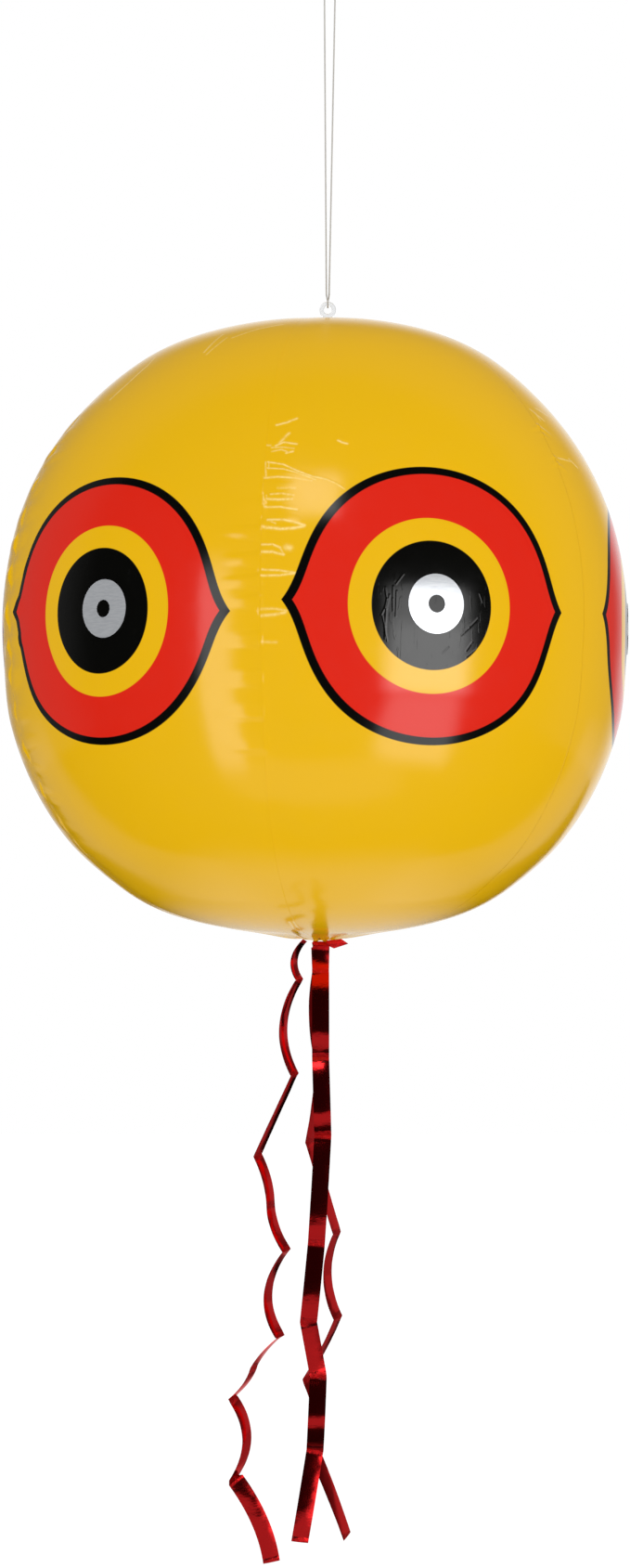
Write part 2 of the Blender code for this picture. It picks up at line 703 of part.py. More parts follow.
def make_tail(material, parent):
    """The short cut end that points to the right of the knot."""
    half = TAIL_WIDTH / 2
    root = TAIL_ROOT_WIDTH / 2
    outline = [
        (0, -root),
        (TAIL_LENGTH * TAIL_TIP_SHARE, -half),
        (TAIL_LENGTH, 0),
        (TAIL_LENGTH * TAIL_TIP_SHARE, half),
        (0, root),
    ]
    shape = bmesh.new()
    faces = []
    for lift in (0, STREAMER_THICKNESS):
        ring = [shape.verts.new((x, lift, z)) for x, z in outline]
        faces.append(ring)
    shape.faces.new(faces[0])
    shape.faces.new(faces[1][::-1])
    for k in range(len(outline)):
        after = (k + 1) % len(outline)
        shape.faces.new((faces[0][after], faces[0][k], faces[1][k], faces[1][after]))
    start = knot_place() + Vector((KNOT_LUMP_RADII[0] + TOUCH_GAP, 0, 0))
    turn = Matrix.Rotation(math.radians(-TAIL_RISE_DEG), 4, "X")
    bmesh.ops.transform(shape, matrix=Matrix.Translation(start) @ turn, verts=shape.verts)
    add_piece("streamer_tail", shape, material, parent)


def streamer_path(shares, bow_axis):
    """Points down a streamer, each with the strip's turn about the vertical there."""
    folds = [
        STREAMER_TOP
        + Vector((side * STREAMER_REACH, depth * STREAMER_REACH, -drop * STREAMER_DROP))
        for drop, side, depth, bow, turn in shares
    ]
    turns = [math.radians(row[-1]) for row in shares]
    path = [(folds[0], turns[0])]
    for k in range(1, len(folds)):
        start, end = folds[k - 1], folds[k]
        bow = bow_axis * (2 * shares[k][3] * STREAMER_REACH)
        middle = (start + end) / 2 + bow
        for step in range(1, PANEL_STEPS + 1):
            t = step / PANEL_STEPS
            place = start * (1 - t) ** 2 + 2 * middle * t * (1 - t) + end * t**2
            path.append((place, turns[k - 1] * (1 - t) + turns[k] * t))
    return path


def strip_shape(path):
    """A thin strip along a path, curled a little across its width."""
    places = [place for place, _ in path]
    curl = math.radians(CURL_DEG)
    radius = STREAMER_WIDTH / curl
    rows = ([], [])
    for k, (place, turn) in enumerate(path):
        level = Vector((math.cos(turn), math.sin(turn), 0))
        along = places[min(k + 1, len(places) - 1)] - places[max(k - 1, 0)]
        across = (level - along * (level.dot(along) / along.length_squared)).normalized()
        normal = along.cross(across).normalized()
        for face, lift in enumerate((-STREAMER_THICKNESS / 2, STREAMER_THICKNESS / 2)):
            row = []
            for j in range(STREAMER_SPANS + 1):
                bend = curl * (j / STREAMER_SPANS - 1 / 2)
                out = (radius + lift) * math.cos(bend) - radius
                row.append(place + across * ((radius + lift) * math.sin(bend)) + normal * out)
            rows[face].append(row)
    return shell_of(*rows)


def make_streamer(name, shares, bow_axis, material, parent):
    path = streamer_path(shares, Vector(bow_axis))
    pivot = add_pivot(name + "_hinge", path[0][0], parent)
    add_piece(name, strip_shape(path), material, pivot)


def make_streamers(material, balloon):
    make_bottom_knot(material, balloon)
    make_tail(material, balloon)
    make_streamer("streamer_left", LEFT_FOLD_SHARES, (1, 0, 0), material, balloon)
    make_streamer("streamer_front", FRONT_FOLD_SHARES, (0, 1, 0), material, balloon)
    make_streamer("streamer_rear", REAR_FOLD_SHARES, (1, 0, 0), material, balloon)


def main():
    clear_scene()
    materials = {
        "yellow_film": make_material("yellow_film", (0.80, 0.49, 0.02), 0.2),
        "silver_foil": make_material("silver_foil", (0.78, 0.78, 0.80), 0.2, 1.0),
        "clear_vinyl": make_material("clear_vinyl", (0.85, 0.88, 0.90), 0.15, 0.0, 0.5),
        "white_cord": make_material("white_cord", (0.72, 0.72, 0.70), 0.5),
        "red_foil": make_material("red_foil", (0.60, 0.01, 0.015), 0.25, 0.9),
    }
    balloon = make_cord(materials["white_cord"])
    valve_gore = (math.radians(VALVE_LONGITUDE_DEG) - gore_longitude(0)) // GORE_ANGLE
    for index in range(GORE_COUNT):
        gore = make_gore(index, materials["yellow_film"], balloon)
        if index == valve_gore:
            cut_valve_hole(gore, balloon)
        make_foil_ring(index, materials["silver_foil"], balloon)
    make_eyelet("top_eyelet", TOP_HOLE, TOP_EYELET_OFFSET, 1, materials["clear_vinyl"], balloon)
    make_eyelet(
        "bottom_eyelet", BOTTOM_HOLE, BOTTOM_EYELET_OFFSET, -1, materials["yellow_film"], balloon
    )
    make_valve(materials, balloon)
    make_streamers(materials["red_foil"], balloon)


main()
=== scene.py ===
import math

import bmesh
import bpy
import numpy as np
from mathutils import Matrix, Vector


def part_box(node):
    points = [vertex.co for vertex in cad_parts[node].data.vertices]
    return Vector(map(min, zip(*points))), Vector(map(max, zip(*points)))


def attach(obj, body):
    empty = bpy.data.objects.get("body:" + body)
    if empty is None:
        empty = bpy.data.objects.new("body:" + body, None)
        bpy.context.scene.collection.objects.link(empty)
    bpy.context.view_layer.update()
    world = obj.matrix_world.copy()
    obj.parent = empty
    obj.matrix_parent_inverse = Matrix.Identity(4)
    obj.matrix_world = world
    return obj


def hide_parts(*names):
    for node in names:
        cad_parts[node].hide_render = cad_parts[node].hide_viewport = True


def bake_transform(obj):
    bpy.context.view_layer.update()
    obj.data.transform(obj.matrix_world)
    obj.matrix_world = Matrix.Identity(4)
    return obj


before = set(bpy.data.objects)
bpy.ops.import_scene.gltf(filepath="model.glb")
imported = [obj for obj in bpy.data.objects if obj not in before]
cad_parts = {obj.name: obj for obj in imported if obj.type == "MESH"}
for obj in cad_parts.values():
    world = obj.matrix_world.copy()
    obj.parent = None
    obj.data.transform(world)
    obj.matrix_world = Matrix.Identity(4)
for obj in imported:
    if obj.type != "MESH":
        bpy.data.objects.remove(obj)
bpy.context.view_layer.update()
print("scene: frame loaded")


# Small tools for meshes

def addObject(name, data):
    made = bpy.data.objects.new(name, data)
    bpy.context.scene.collection.objects.link(made)
    return made


def meshObject(name, points, faces, material, smoothAngle=35.0):
    mesh = bpy.data.meshes.new(name)
    mesh.from_pydata([tuple(p) for p in points], [], faces)
    mesh.update()
    mesh.shade_smooth()
    mesh.set_sharp_from_angle(angle=math.radians(smoothAngle))
    mesh.materials.append(material)
    return addObject(name, mesh)


def bakedMesh(obj):
    graph = bpy.context.evaluated_depsgraph_get()
    mesh = bpy.data.meshes.new_from_object(obj.evaluated_get(graph))
    obj.modifiers.clear()
    return mesh


def latheShape(outline, matrix, turns=64):
    points = []
    for k in range(turns):
        turn = 2 * math.pi * k / turns
        for radius, height in outline:
            spot = Vector((radius * math.cos(turn), radius * math.sin(turn), height))
            points.append(matrix @ spot)
    count = len(outline)
    faces = []
    for k in range(turns):
        after = (k + 1) % turns
        for j in range(count):
            nextJ = (j + 1) % count
            faces.append((k * count + j, after * count + j, after * count + nextJ, k * count + nextJ))
    return points, faces


def roundedOutline(corners, bevel, steps=3):
    # corners are (radius, height) in order round a closed outline, anticlockwise
    rounded = []
    for k, corner in enumerate(corners):
        here = Vector(corner)
        before = Vector(corners[k - 1]) - here
        after = Vector(corners[(k + 1) % len(corners)]) - here
        cut = min(bevel, before.length * 0.45, after.length * 0.45)
        start, end = here + before.normalized() * cut, here + after.normalized() * cut
        for step in range(steps + 1):
            t = step / steps
            rounded.append(tuple(start * (1 - t) ** 2 + here * 2 * t * (1 - t) + end * t**2))
    return rounded


# Small tools for node trees

def node(tree, kind, **settings):
    made = tree.nodes.new(kind)
    for key, value in settings.items():
        setattr(made, key, value)
    return made


def feed(tree, target, source):
    if isinstance(source, bpy.types.NodeSocket):
        tree.links.new(source, target)
    else:
        target.default_value = source


def maths(tree, operation, *values):
    made = node(tree, "ShaderNodeMath", operation=operation)
    for target, value in zip(made.inputs, values):
        feed(tree, target, value)
    return made.outputs[0]


def total(tree, values):
    result = values[0]
    for value in values[1:]:
        result = maths(tree, "ADD", result, value)
    return result


def vectors(tree, operation, *values):
    made = node(tree, "ShaderNodeVectorMath", operation=operation)
    targets = [made.inputs[0], made.inputs[3]] if operation == "SCALE" else made.inputs
    for target, value in zip(targets, values):
        feed(tree, target, value)
    single = operation in ("DOT_PRODUCT", "LENGTH", "DISTANCE")
    return made.outputs["Value"] if single else made.outputs["Vector"]


def joinVector(tree, x=0.0, y=0.0, z=0.0):
    made = node(tree, "ShaderNodeCombineXYZ")
    for target, value in zip(made.inputs, (x, y, z)):
        feed(tree, target, value)
    return made.outputs[0]


def splitVector(tree, source):
    made = node(tree, "ShaderNodeSeparateXYZ")
    feed(tree, made.inputs[0], source)
    return made.outputs


def softStep(tree, value, low, high, fromValue=0.0, toValue=1.0):
    made = node(tree, "ShaderNodeMapRange", interpolation_type="SMOOTHSTEP")
    for key, amount in (("Value", value), ("From Min", low), ("From Max", high)):
        feed(tree, made.inputs[key], amount)
    feed(tree, made.inputs["To Min"], fromValue)
    feed(tree, made.inputs["To Max"], toValue)
    return made.outputs["Result"]


def mixColors(tree, share, first, second):
    made = node(tree, "ShaderNodeMix", data_type="RGBA")
    feed(tree, made.inputs["Factor"], share)
    feed(tree, made.inputs[6], first)
    feed(tree, made.inputs[7], second)
    return made.outputs[2]


def noiseValue(tree, vector, scale, detail=2.0, roughness=0.5, distortion=0.0):
    made = node(tree, "ShaderNodeTexNoise")
    feed(tree, made.inputs["Vector"], vector)
    made.inputs["Scale"].default_value = scale
    made.inputs["Detail"].default_value = detail
    made.inputs["Roughness"].default_value = roughness
    made.inputs["Distortion"].default_value = distortion
    return made.outputs["Fac"]


def roughen(tree, shader, height, distance=1.0, strength=1.0):
    bump = node(tree, "ShaderNodeBump")
    bump.inputs["Strength"].default_value = strength
    bump.inputs["Distance"].default_value = distance
    tree.links.new(height, bump.inputs["Height"])
    tree.links.new(bump.outputs["Normal"], shader.inputs["Normal"])


def newTree(name, kind, inputs, outputs):
    tree = bpy.data.node_groups.new(name, kind)
    for label, socketType, value in inputs:
        socket = tree.interface.new_socket(label, in_out="INPUT", socket_type=socketType)
        if value is not None:
            socket.default_value = value
    for label, socketType in outputs:
        tree.interface.new_socket(label, in_out="OUTPUT", socket_type=socketType)
    return tree, node(tree, "NodeGroupInput").outputs, node(tree, "NodeGroupOutput").inputs


def useGroup(tree, group, **values):
    made = node(tree, "ShaderNodeGroup", node_tree=group)
    for target in made.inputs:
        key = target.name.replace(" ", "")
        key = key[0].lower() + key[1:]
        if key in values:
            feed(tree, target, values[key])
    return made.outputs


def setInputs(modifier, values):
    for item in modifier.node_group.interface.items_tree:
        if item.item_type == "SOCKET" and item.in_out == "INPUT" and item.name in values:
            modifier[item.identifier] = values[item.name]


def newMaterial(name, **principled):
    material = bpy.data.materials.new(name)
    material.use_nodes = True
    tree = material.node_tree
    shader = tree.nodes["Principled BSDF"]
    for key, value in principled.items():
        shader.inputs[key.replace("_", " ")].default_value = value
    return material, tree, shader


# Camera

cameraSettings = {"place": (-0.00965, -1.2, -0.5352), "lens": 42.5, "sensor": 36.0}


def makeCamera(settings):
    data = bpy.data.cameras.new("camera")
    data.lens = settings["lens"]
    data.sensor_fit = "VERTICAL"
    data.sensor_width = data.sensor_height = settings["sensor"]
    camera = addObject("camera", data)
    camera.location = settings["place"]
    camera.rotation_euler = (math.pi / 2, 0, 0)
    bpy.context.scene.camera = camera


makeCamera(cameraSettings)
print("scene: camera placed")


# Light, backdrop and floor

lightSettings = {
    "target": (-0.00965, 0.0, -0.4367),
    "distance": 1.6,
    "lamps": {
        "rightUpper": {"azimuth": 37.5, "elevation": 4.5, "width": 0.80, "height": 0.25, "level": 2.6},
        "rightMiddle": {"azimuth": 37.5, "elevation": -5.4, "width": 0.80, "height": 0.30, "level": 4.2},
        "rightLower": {"azimuth": 37.5, "elevation": -25.0, "width": 0.72, "height": 0.74, "level": 2.1},
        "leftStrip": {"azimuth": -33.0, "elevation": -13.0, "width": 0.30, "height": 1.7, "level": 2.3},
        "topLight": {"azimuth": 0.0, "elevation": 37.0, "width": 0.42, "height": 0.40, "level": 3.2},
        # two low boards behind the streamers
        "rightBoard": {
            "azimuth": 124.0, "elevation": -42.0, "distance": 1.0,
            "width": 0.42, "height": 1.1, "level": 0.32,
        },
        "leftBoard": {
            "azimuth": -124.0, "elevation": -42.0, "distance": 1.0,
            "width": 0.42, "height": 1.1, "level": 0.26,
        },
        # a dim low one in front, for the lower parts of the front streamer's panels
        "frontBoard": {
            "azimuth": 0.0, "elevation": -48.0, "distance": 1.3,
            "width": 1.2, "height": 0.36, "level": 0.42,
        },
    },
    # the lamps fade over this share of their size at each edge
    "lampEdge": 0.2,
    "frontReflected": 0.015,
    "sideReflected": 0.14,
    "sideStart": -0.10,
    "sideFull": 0.25,
    "leftReflected": 0.1,
    "leftStart": -0.45,
    "leftFull": -0.08,
    "behindReflected": 0.80,
    "leastSeenThrough": 0.8,
    "behindStart": 0.72,
    "behindFull": 0.95,
    "diffuseMiddle": 1.022,
    "diffuseSlopes": (0.11, -0.16, -0.10),
    "floorHeight": -1.9,
    "floorFront": -0.5,
    "floorGlow": 0.40,
    "floorSeenGlow": 0.75,
    "floorColor": 0.35,
    "floorHalfWidth": 0.18,
    "floorFadeWidth": 1.0,
    "floorFaded": 0.0,
    "floorFadeDepth": 0.3,
}


def makeLamp(name, place, settings):
    data = bpy.data.lights.new(name, "AREA")
    data.shape = "RECTANGLE"
    edge = settings["lampEdge"]
    data.size, data.size_y = place["width"] / (1 - edge), place["height"] / (1 - edge)
    data.energy = place["level"] * math.pi * data.size * data.size_y
    data.use_nodes = True
    tree = data.node_tree
    strength = 1.0
    for share in splitVector(tree, node(tree, "ShaderNodeNewGeometry").outputs["Parametric"])[:2]:
        inner = maths(tree, "MINIMUM", share, maths(tree, "SUBTRACT", 1.0, share))
        strength = maths(tree, "MULTIPLY", strength, softStep(tree, inner, 0.0, edge))
    tree.links.new(strength, tree.nodes["Emission"].inputs["Strength"])
    azimuth, elevation = math.radians(place["azimuth"]), math.radians(place["elevation"])
    away = Vector((
        math.sin(azimuth) * math.cos(elevation),
        -math.cos(azimuth) * math.cos(elevation),
        math.sin(elevation),
    ))
    lamp = addObject(name, data)
    lamp.location = Vector(settings["target"]) + away * place.get("distance", settings["distance"])
    lamp.rotation_euler = away.to_track_quat("Z", "Y").to_euler()
    # the lamps are seen in the glossy film only, and the world lights it evenly
    lamp.visible_camera = lamp.visible_diffuse = False


def makeWorld(settings):
    world = bpy.data.worlds.new("studio")
    bpy.context.scene.world = world
    world.use_nodes = True
    world.cycles.sampling_method = "NONE"
    tree = world.node_tree
    background = tree.nodes["Background"]
    direction = node(tree, "ShaderNodeTexCoord").outputs["Generated"]
    aside, behind, _ = splitVector(tree, direction)
    sides = softStep(
        tree, behind, settings["sideStart"], settings["sideFull"],
        settings["frontReflected"], settings["sideReflected"],
    )
    reflected = softStep(
        tree, behind, settings["behindStart"], settings["behindFull"], 0.0, settings["behindReflected"]
    )
    # the backdrop ends early on the left
    reflected = maths(tree, "MULTIPLY", reflected, softStep(
        tree, aside, settings["leftStart"], settings["leftFull"], settings["leftReflected"], 1.0
    ))
    reflected = maths(tree, "ADD", reflected, sides)
    rays = node(tree, "ShaderNodeLightPath").outputs
    least = maths(tree, "MULTIPLY", rays["Is Transmission Ray"], settings["leastSeenThrough"])
    reflected = maths(tree, "MAXIMUM", reflected, least)
    slope = vectors(tree, "DOT_PRODUCT", direction, settings["diffuseSlopes"])
    diffuse = maths(tree, "ADD", slope, settings["diffuseMiddle"])
    level = node(tree, "ShaderNodeMix")
    feed(tree, level.inputs["Factor"], rays["Is Diffuse Ray"])
    feed(tree, level.inputs[2], reflected)
    feed(tree, level.inputs[3], diffuse)
    final = node(tree, "ShaderNodeMix")
    feed(tree, final.inputs["Factor"], rays["Is Camera Ray"])
    feed(tree, final.inputs[2], level.outputs[0])
    final.inputs[3].default_value = 1.0
    tree.links.new(final.outputs[0], background.inputs["Strength"])
    background.inputs["Color"].default_value = (1, 1, 1, 1)


def makeFloor(settings):
    material, tree, shader = newMaterial(
        "floor",
        Roughness=0.9,
        Specular_IOR_Level=0.0,
        Emission_Color=(1, 1, 1, 1),
    )
    rays = node(tree, "ShaderNodeLightPath").outputs
    seen = rays["Is Camera Ray"]
    aside, depth, _ = splitVector(tree, node(tree, "ShaderNodeTexCoord").outputs["Object"])
    aside = maths(tree, "ABSOLUTE", aside)
    middle = softStep(
        tree, aside, settings["floorHalfWidth"], settings["floorFadeWidth"], 1.0, settings["floorFaded"]
    )
    middle = maths(tree, "MULTIPLY", middle, softStep(
        tree, depth, settings["floorFront"], settings["floorFadeDepth"]
    ))
    middle = maths(tree, "MAXIMUM", middle, maths(tree, "SUBTRACT", 1.0, rays["Is Glossy Ray"]))
    glow = node(tree, "ShaderNodeMix")
    feed(tree, glow.inputs["Factor"], seen)
    feed(tree, glow.inputs[2], maths(tree, "MULTIPLY", middle, settings["floorGlow"]))
    glow.inputs[3].default_value = settings["floorSeenGlow"]
    tree.links.new(glow.outputs[0], shader.inputs["Emission Strength"])
    gray = (settings["floorColor"],) * 3 + (1,)
    color = mixColors(tree, middle, (0, 0, 0, 1), gray)
    tree.links.new(color, shader.inputs["Base Color"])
    z, front = settings["floorHeight"], settings["floorFront"]
    corners = [(-4, front, z), (4, front, z), (4, 6, z), (-4, 6, z)]
    floor = meshObject("floor", corners, [(0, 1, 2, 3)], material)


for lampName, lampPlace in lightSettings["lamps"].items():
    makeLamp(lampName, lampPlace, lightSettings)
makeWorld(lightSettings)
makeFloor(lightSettings)
bpy.context.scene.view_settings.view_transform = "Standard"
print("scene: light and floor made")


# Cord: two twisted strands from the top eyelet up to the knot, the loop over the hook and the bight

cordSettings = {
    "diameter": 0.0010,
    "lay": 0.0032,
    "lobes": 3,
    "lobeDepth": 0.10,
    "color": (0.62, 0.60, 0.56, 1),
    "strandTopZ": -0.01655,
    "strandBottomZ": -0.2178,
    "twistLength": 0.06,
    "steps": 120,
    "fibreHeight": 0.00006,
    "strandSway": 0.0003,
    "swayPerStep": 0.16,
    "loopSideSteps": 8,
    "rightLegSteps": 6,
    "rightLegLength": 0.0054,
    # the strands leave the bight so far to each side of the eyelet's middle
    "spread": 0.0009,
    # one half of the bight, from its middle inside the eyelet up to a strand
    "bightHalf": (
        (0, 0, -0.22615), (0, -0.0010, -0.22600), (0, -0.0017, -0.22510), (0, -0.0019, -0.22380),
        (-0.0001, -0.0017, -0.22230), (-0.0006, -0.0008, -0.21980), (-0.0009, 0, -0.2179),
    ),
    "knotTop": -0.00935,
    "knotHeight": 0.0066,
    "knotRadius": 0.00115,
    "knotTurns": 4,
    "knotTurnSteps": 20,
    # the knot's free ends, measured from where its turns start and stop
    "knotStart": ((0.0016, 0.0004, 0.0062), (0.0008, 0.0005, 0.0032)),
    "knotEnd": ((0.0008, -0.0005, -0.0030), (0.0016, -0.0004, -0.0060)),
    "knotCore": (0.0004, -0.0072),
}


def makeCordMaterial(settings):
    material, tree, shader = newMaterial(
        "whiteCord", Base_Color=settings["color"], Roughness=0.45, Specular_IOR_Level=0.4
    )
    shader.inputs["Sheen Weight"].default_value = 0.2
    spot = node(tree, "ShaderNodeTexCoord").outputs["Object"]
    fibres = noiseValue(tree, vectors(tree, "MULTIPLY", spot, (9000, 9000, 1800)), 1.0, 2.0)
    roughen(tree, shader, fibres, settings["fibreHeight"], 0.5)
    shade = softStep(tree, fibres, 0.3, 0.7)
    dark = tuple(c * 0.7 for c in settings["color"][:3]) + (1,)
    tree.links.new(mixColors(tree, shade, dark, settings["color"]), shader.inputs["Base Color"])
    return material


def cordTree():
    tree, given, result = newTree(
        "twistedCord",
        "GeometryNodeTree",
        [
            ("Path", "NodeSocketGeometry", None),
            ("Radius", "NodeSocketFloat", 0.0005),
            ("Lay", "NodeSocketFloat", 0.0032),
            ("Lobes", "NodeSocketInt", 3),
            ("Lobe Depth", "NodeSocketFloat", 0.1),
            ("Step", "NodeSocketFloat", 0.0004),
            ("Material", "NodeSocketMaterial", None),
        ],
        [("Cord", "NodeSocketGeometry")],
    )
    curve = node(tree, "GeometryNodeMeshToCurve")
    tree.links.new(given["Path"], curve.inputs[0])
    fine = node(tree, "GeometryNodeResampleCurve", mode="LENGTH")
    tree.links.new(curve.outputs[0], fine.inputs["Curve"])
    tree.links.new(given["Step"], fine.inputs["Length"])
    tilt = node(tree, "GeometryNodeSetCurveTilt")
    along = node(tree, "GeometryNodeSplineParameter").outputs["Length"]
    turn = maths(tree, "MULTIPLY", maths(tree, "DIVIDE", along, given["Lay"]), 2 * math.pi)
    tree.links.new(fine.outputs[0], tilt.inputs["Curve"])
    tree.links.new(turn, tilt.inputs["Tilt"])
    profile = node(tree, "GeometryNodeCurvePrimitiveCircle", mode="RADIUS")
    profile.inputs["Resolution"].default_value = 18
    profile.inputs["Radius"].default_value = 1.0
    spot = node(tree, "GeometryNodeInputPosition").outputs[0]
    x, y, _ = splitVector(tree, spot)
    angle = maths(tree, "MULTIPLY", maths(tree, "ARCTAN2", y, x), given["Lobes"])
    lobe = maths(tree, "MULTIPLY", maths(tree, "COSINE", angle), given["Lobe Depth"])
    size = maths(tree, "MULTIPLY", maths(tree, "ADD", lobe, 1.0), given["Radius"])
    shaped = node(tree, "GeometryNodeSetPosition")
    tree.links.new(profile.outputs[0], shaped.inputs["Geometry"])
    tree.links.new(vectors(tree, "SCALE", spot, size), shaped.inputs["Position"])
    sweep = node(tree, "GeometryNodeCurveToMesh")
    sweep.inputs["Fill Caps"].default_value = True
    tree.links.new(tilt.outputs[0], sweep.inputs["Curve"])
    tree.links.new(shaped.outputs[0], sweep.inputs["Profile Curve"])
    finishTree(tree, sweep.outputs[0], given["Material"], result[0])
    return tree


def finishTree(tree, shape, material, result):
    smooth = node(tree, "GeometryNodeSetShadeSmooth")
    real = node(tree, "GeometryNodeRealizeInstances")
    painted = node(tree, "GeometryNodeSetMaterial")
    tree.links.new(shape, smooth.inputs[0])
    tree.links.new(smooth.outputs[0], real.inputs[0])
    tree.links.new(real.outputs[0], painted.inputs["Geometry"])
    tree.links.new(material, painted.inputs["Material"])
    tree.links.new(painted.outputs[0], result)


def grownObject(name, points, tree, values, turns=None):
    # a mesh line through the points, grown into its shape by the tree
    mesh = bpy.data.meshes.new(name)
    edges = [(k, k + 1) for k in range(len(points) - 1)]
    mesh.from_pydata([tuple(p) for p in points], edges, [])
    if turns is not None:
        mesh.attributes.new("turn", "FLOAT", "POINT").data.foreach_set("value", turns)
    obj = addObject(name, mesh)
    modifier = obj.modifiers.new("shape", "NODES")
    modifier.node_group = tree
    setInputs(modifier, values)
    obj.data = bakedMesh(obj)
    obj.data.name = name
    return obj


def smoothPath(points, steps=8):
    # a smooth line through the points
    line = []
    count = len(points)
    for k in range(count - 1):
        p0, p1 = points[max(k - 1, 0)], points[k]
        p2, p3 = points[k + 1], points[min(k + 2, count - 1)]
        for step in range(steps):
            t = step / steps
            line.append(
                0.5 * (2 * p1 + (p2 - p0) * t + (2 * p0 - 5 * p1 + 4 * p2 - p3) * t**2
                       + (3 * p1 - p0 - 3 * p2 + p3) * t**3)
            )
    line.append(points[-1])
    return line


def makeCords(settings):
    material = makeCordMaterial(settings)
    tree = cordTree()
    values = {
        "Radius": settings["diameter"] / 2,
        "Lay": settings["lay"],
        "Lobes": settings["lobes"],
        "Lobe Depth": settings["lobeDepth"],
        "Material": material,
    }
    bightLow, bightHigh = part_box("cord_bight")
    holeX = (bightLow.x + bightHigh.x) / 2
    loopLow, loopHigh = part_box("cord_loop")
    loopReach = (loopHigh.x - loopLow.x - settings["diameter"]) / 2
    arcMiddle = Vector((0, 0, loopHigh.z - settings["diameter"] / 2 - loopReach))
    arc = [
        arcMiddle + loopReach * Vector((-math.cos(t), 0, math.sin(t)))
        for t in (math.pi * k / 16 for k in range(17))
    ]
    left = Vector((-loopReach, 0, settings["strandTopZ"]))
    right = Vector((loopReach, 0, arcMiddle.z - settings["rightLegLength"]))
    leftSteps, rightSteps = settings["loopSideSteps"], settings["rightLegSteps"]
    leftSide = [left.lerp(arc[0], k / leftSteps) for k in range(leftSteps)]
    rightSide = [arc[-1].lerp(right, k / rightSteps) for k in range(1, rightSteps + 1)]
    loop = grownObject("cordLoop", leftSide + arc + rightSide, tree, values)
    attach(loop, "hanging_loop")
    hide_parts("cord_loop")

    half = [Vector(p) for p in settings["bightHalf"]]
    whole = [Vector((-p.x, -p.y, p.z)) for p in half[:0:-1]] + half
    bight = grownObject(
        "cordBight", smoothPath([p + Vector((holeX, 0, 0)) for p in whole]), tree, values
    )
    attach(bight, "cord_bight")
    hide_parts("cord_bight")

    knot = makeCordKnot(settings, tree, values, loopReach)

    for side, name, onIt in ((-1, "left", (loop, bight)), (1, "right", (knot,))):
        low = Vector((holeX + side * settings["spread"], 0, settings["strandBottomZ"]))
        high = Vector((side * loopReach, 0, settings["strandTopZ"]))
        path = [low.lerp(high, k / settings["steps"]) for k in range(settings["steps"] + 1)]
        for k, p in enumerate(path):
            # the strands lean a little about their straight line, as a soft cord does
            p.y += settings["strandSway"] * math.sin(k * settings["swayPerStep"] + side)
        strand = grownObject("cordStrand" + name.capitalize(), path, tree, values)
        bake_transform(strand)
        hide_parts("cord_strand_" + name)


def makeCordKnot(settings, tree, values, loopReach):
    turns, steps = settings["knotTurns"], settings["knotTurnSteps"]
    turnHeight = settings["knotHeight"] / turns
    top, radius = settings["knotTop"], settings["knotRadius"]
    points = []
    for k in range(turns * steps + 1):
        turn = 2 * math.pi * k / steps
        points.append(Vector((
            loopReach + radius * math.cos(turn),
            radius * math.sin(turn),
            top - turnHeight * 0.5 - k / steps * (settings["knotHeight"] - turnHeight) / turns,
        )))
    first = [points[0] + Vector(p) for p in settings["knotStart"]]
    last = [points[-1] + Vector(p) for p in settings["knotEnd"]]
    knot = grownObject("cordKnot", smoothPath(first + points + last, 3), tree, values)
    coreHigh, coreLow = (top + z for z in settings["knotCore"])
    core = grownObject(
        "cordKnotCore", [Vector((loopReach, 0, z)) for z in np.linspace(coreHigh, coreLow, 12)], tree, values
    )
    knot.data = joinMeshes("cordKnot", [knot.data, core.data])
    bpy.data.objects.remove(core)
    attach(knot, "hanging_loop")
    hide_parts("cord_knot")
    return knot


def joinMeshes(name, meshes):
    points, faces, start = [], [], 0
    for mesh in meshes:
        points += [v.co.copy() for v in mesh.vertices]
        faces += [tuple(v + start for v in p.vertices) for p in mesh.polygons]
        start = len(points)
    joined = bpy.data.meshes.new(name)
    joined.from_pydata([tuple(p) for p in points], [], faces)
    joined.materials.append(meshes[0].materials[0])
    joined.update()
    joined.shade_smooth()
    return joined


makeCords(cordSettings)
print("scene: cord made")


# Ball

ballSettings = {
    "centre": (-0.00965, 0.0, -0.4367),
    "radius": 0.200,
    "halfHeight": 0.1965,
    "swell": 0.029,
    "swellSag": 0.0107,
    "firstSeam": -8.5,
    "eyes": (19.8, 83.3, 139.0, 201.5, 260.5, 320.9),
    "eyeScales": ((1.0, 1.0), (1.0, 1.0), (1.01, 1.0), (1.0, 1.0), (1.0, 1.0), (1.03, 0.987)),
    "eyeTilts": (0.65, 1.5, -1.0, 0.5, -0.8, 3.0),
    "eyeRises": (0.0003, 0.0, 0.0, 0.0005, 0.0, 0.0002),
    # the rings and discs are printed a little beside the outlines: right and up in metres
    "ringShifts": (
        (-0.0028, -0.0010), (0.0008, 0.0), (-0.0010, 0.0005),
        (0.0, 0.0), (0.0012, -0.0005), (0.0048, -0.0010),
    ),
    "rows": 600,
    "columns": 110,
    "lapColumns": 3,
    "lapWidth": 0.004,
    "lapDepth": 0.0001,
    "crowding": 0.75,
    "poleRadius": 0.0015,
    "peakHeight": 0.002,
    "peakRadius": 0.030,
    "topLean": 0.0083,
    "bottomLean": 0.0035,
    "valveGore": 2,
    "valveLongitude": 125.0,
    "valveLatitude": -45.0,
    "filmHole": 0.0130,
}


def swellAt(latitude, ball):
    # how much fuller than an ellipsoid the ball is
    share = ball["swell"] - ball["swellSag"] * math.sin(latitude)
    return 1 + share * math.sin(2 * latitude) ** 2


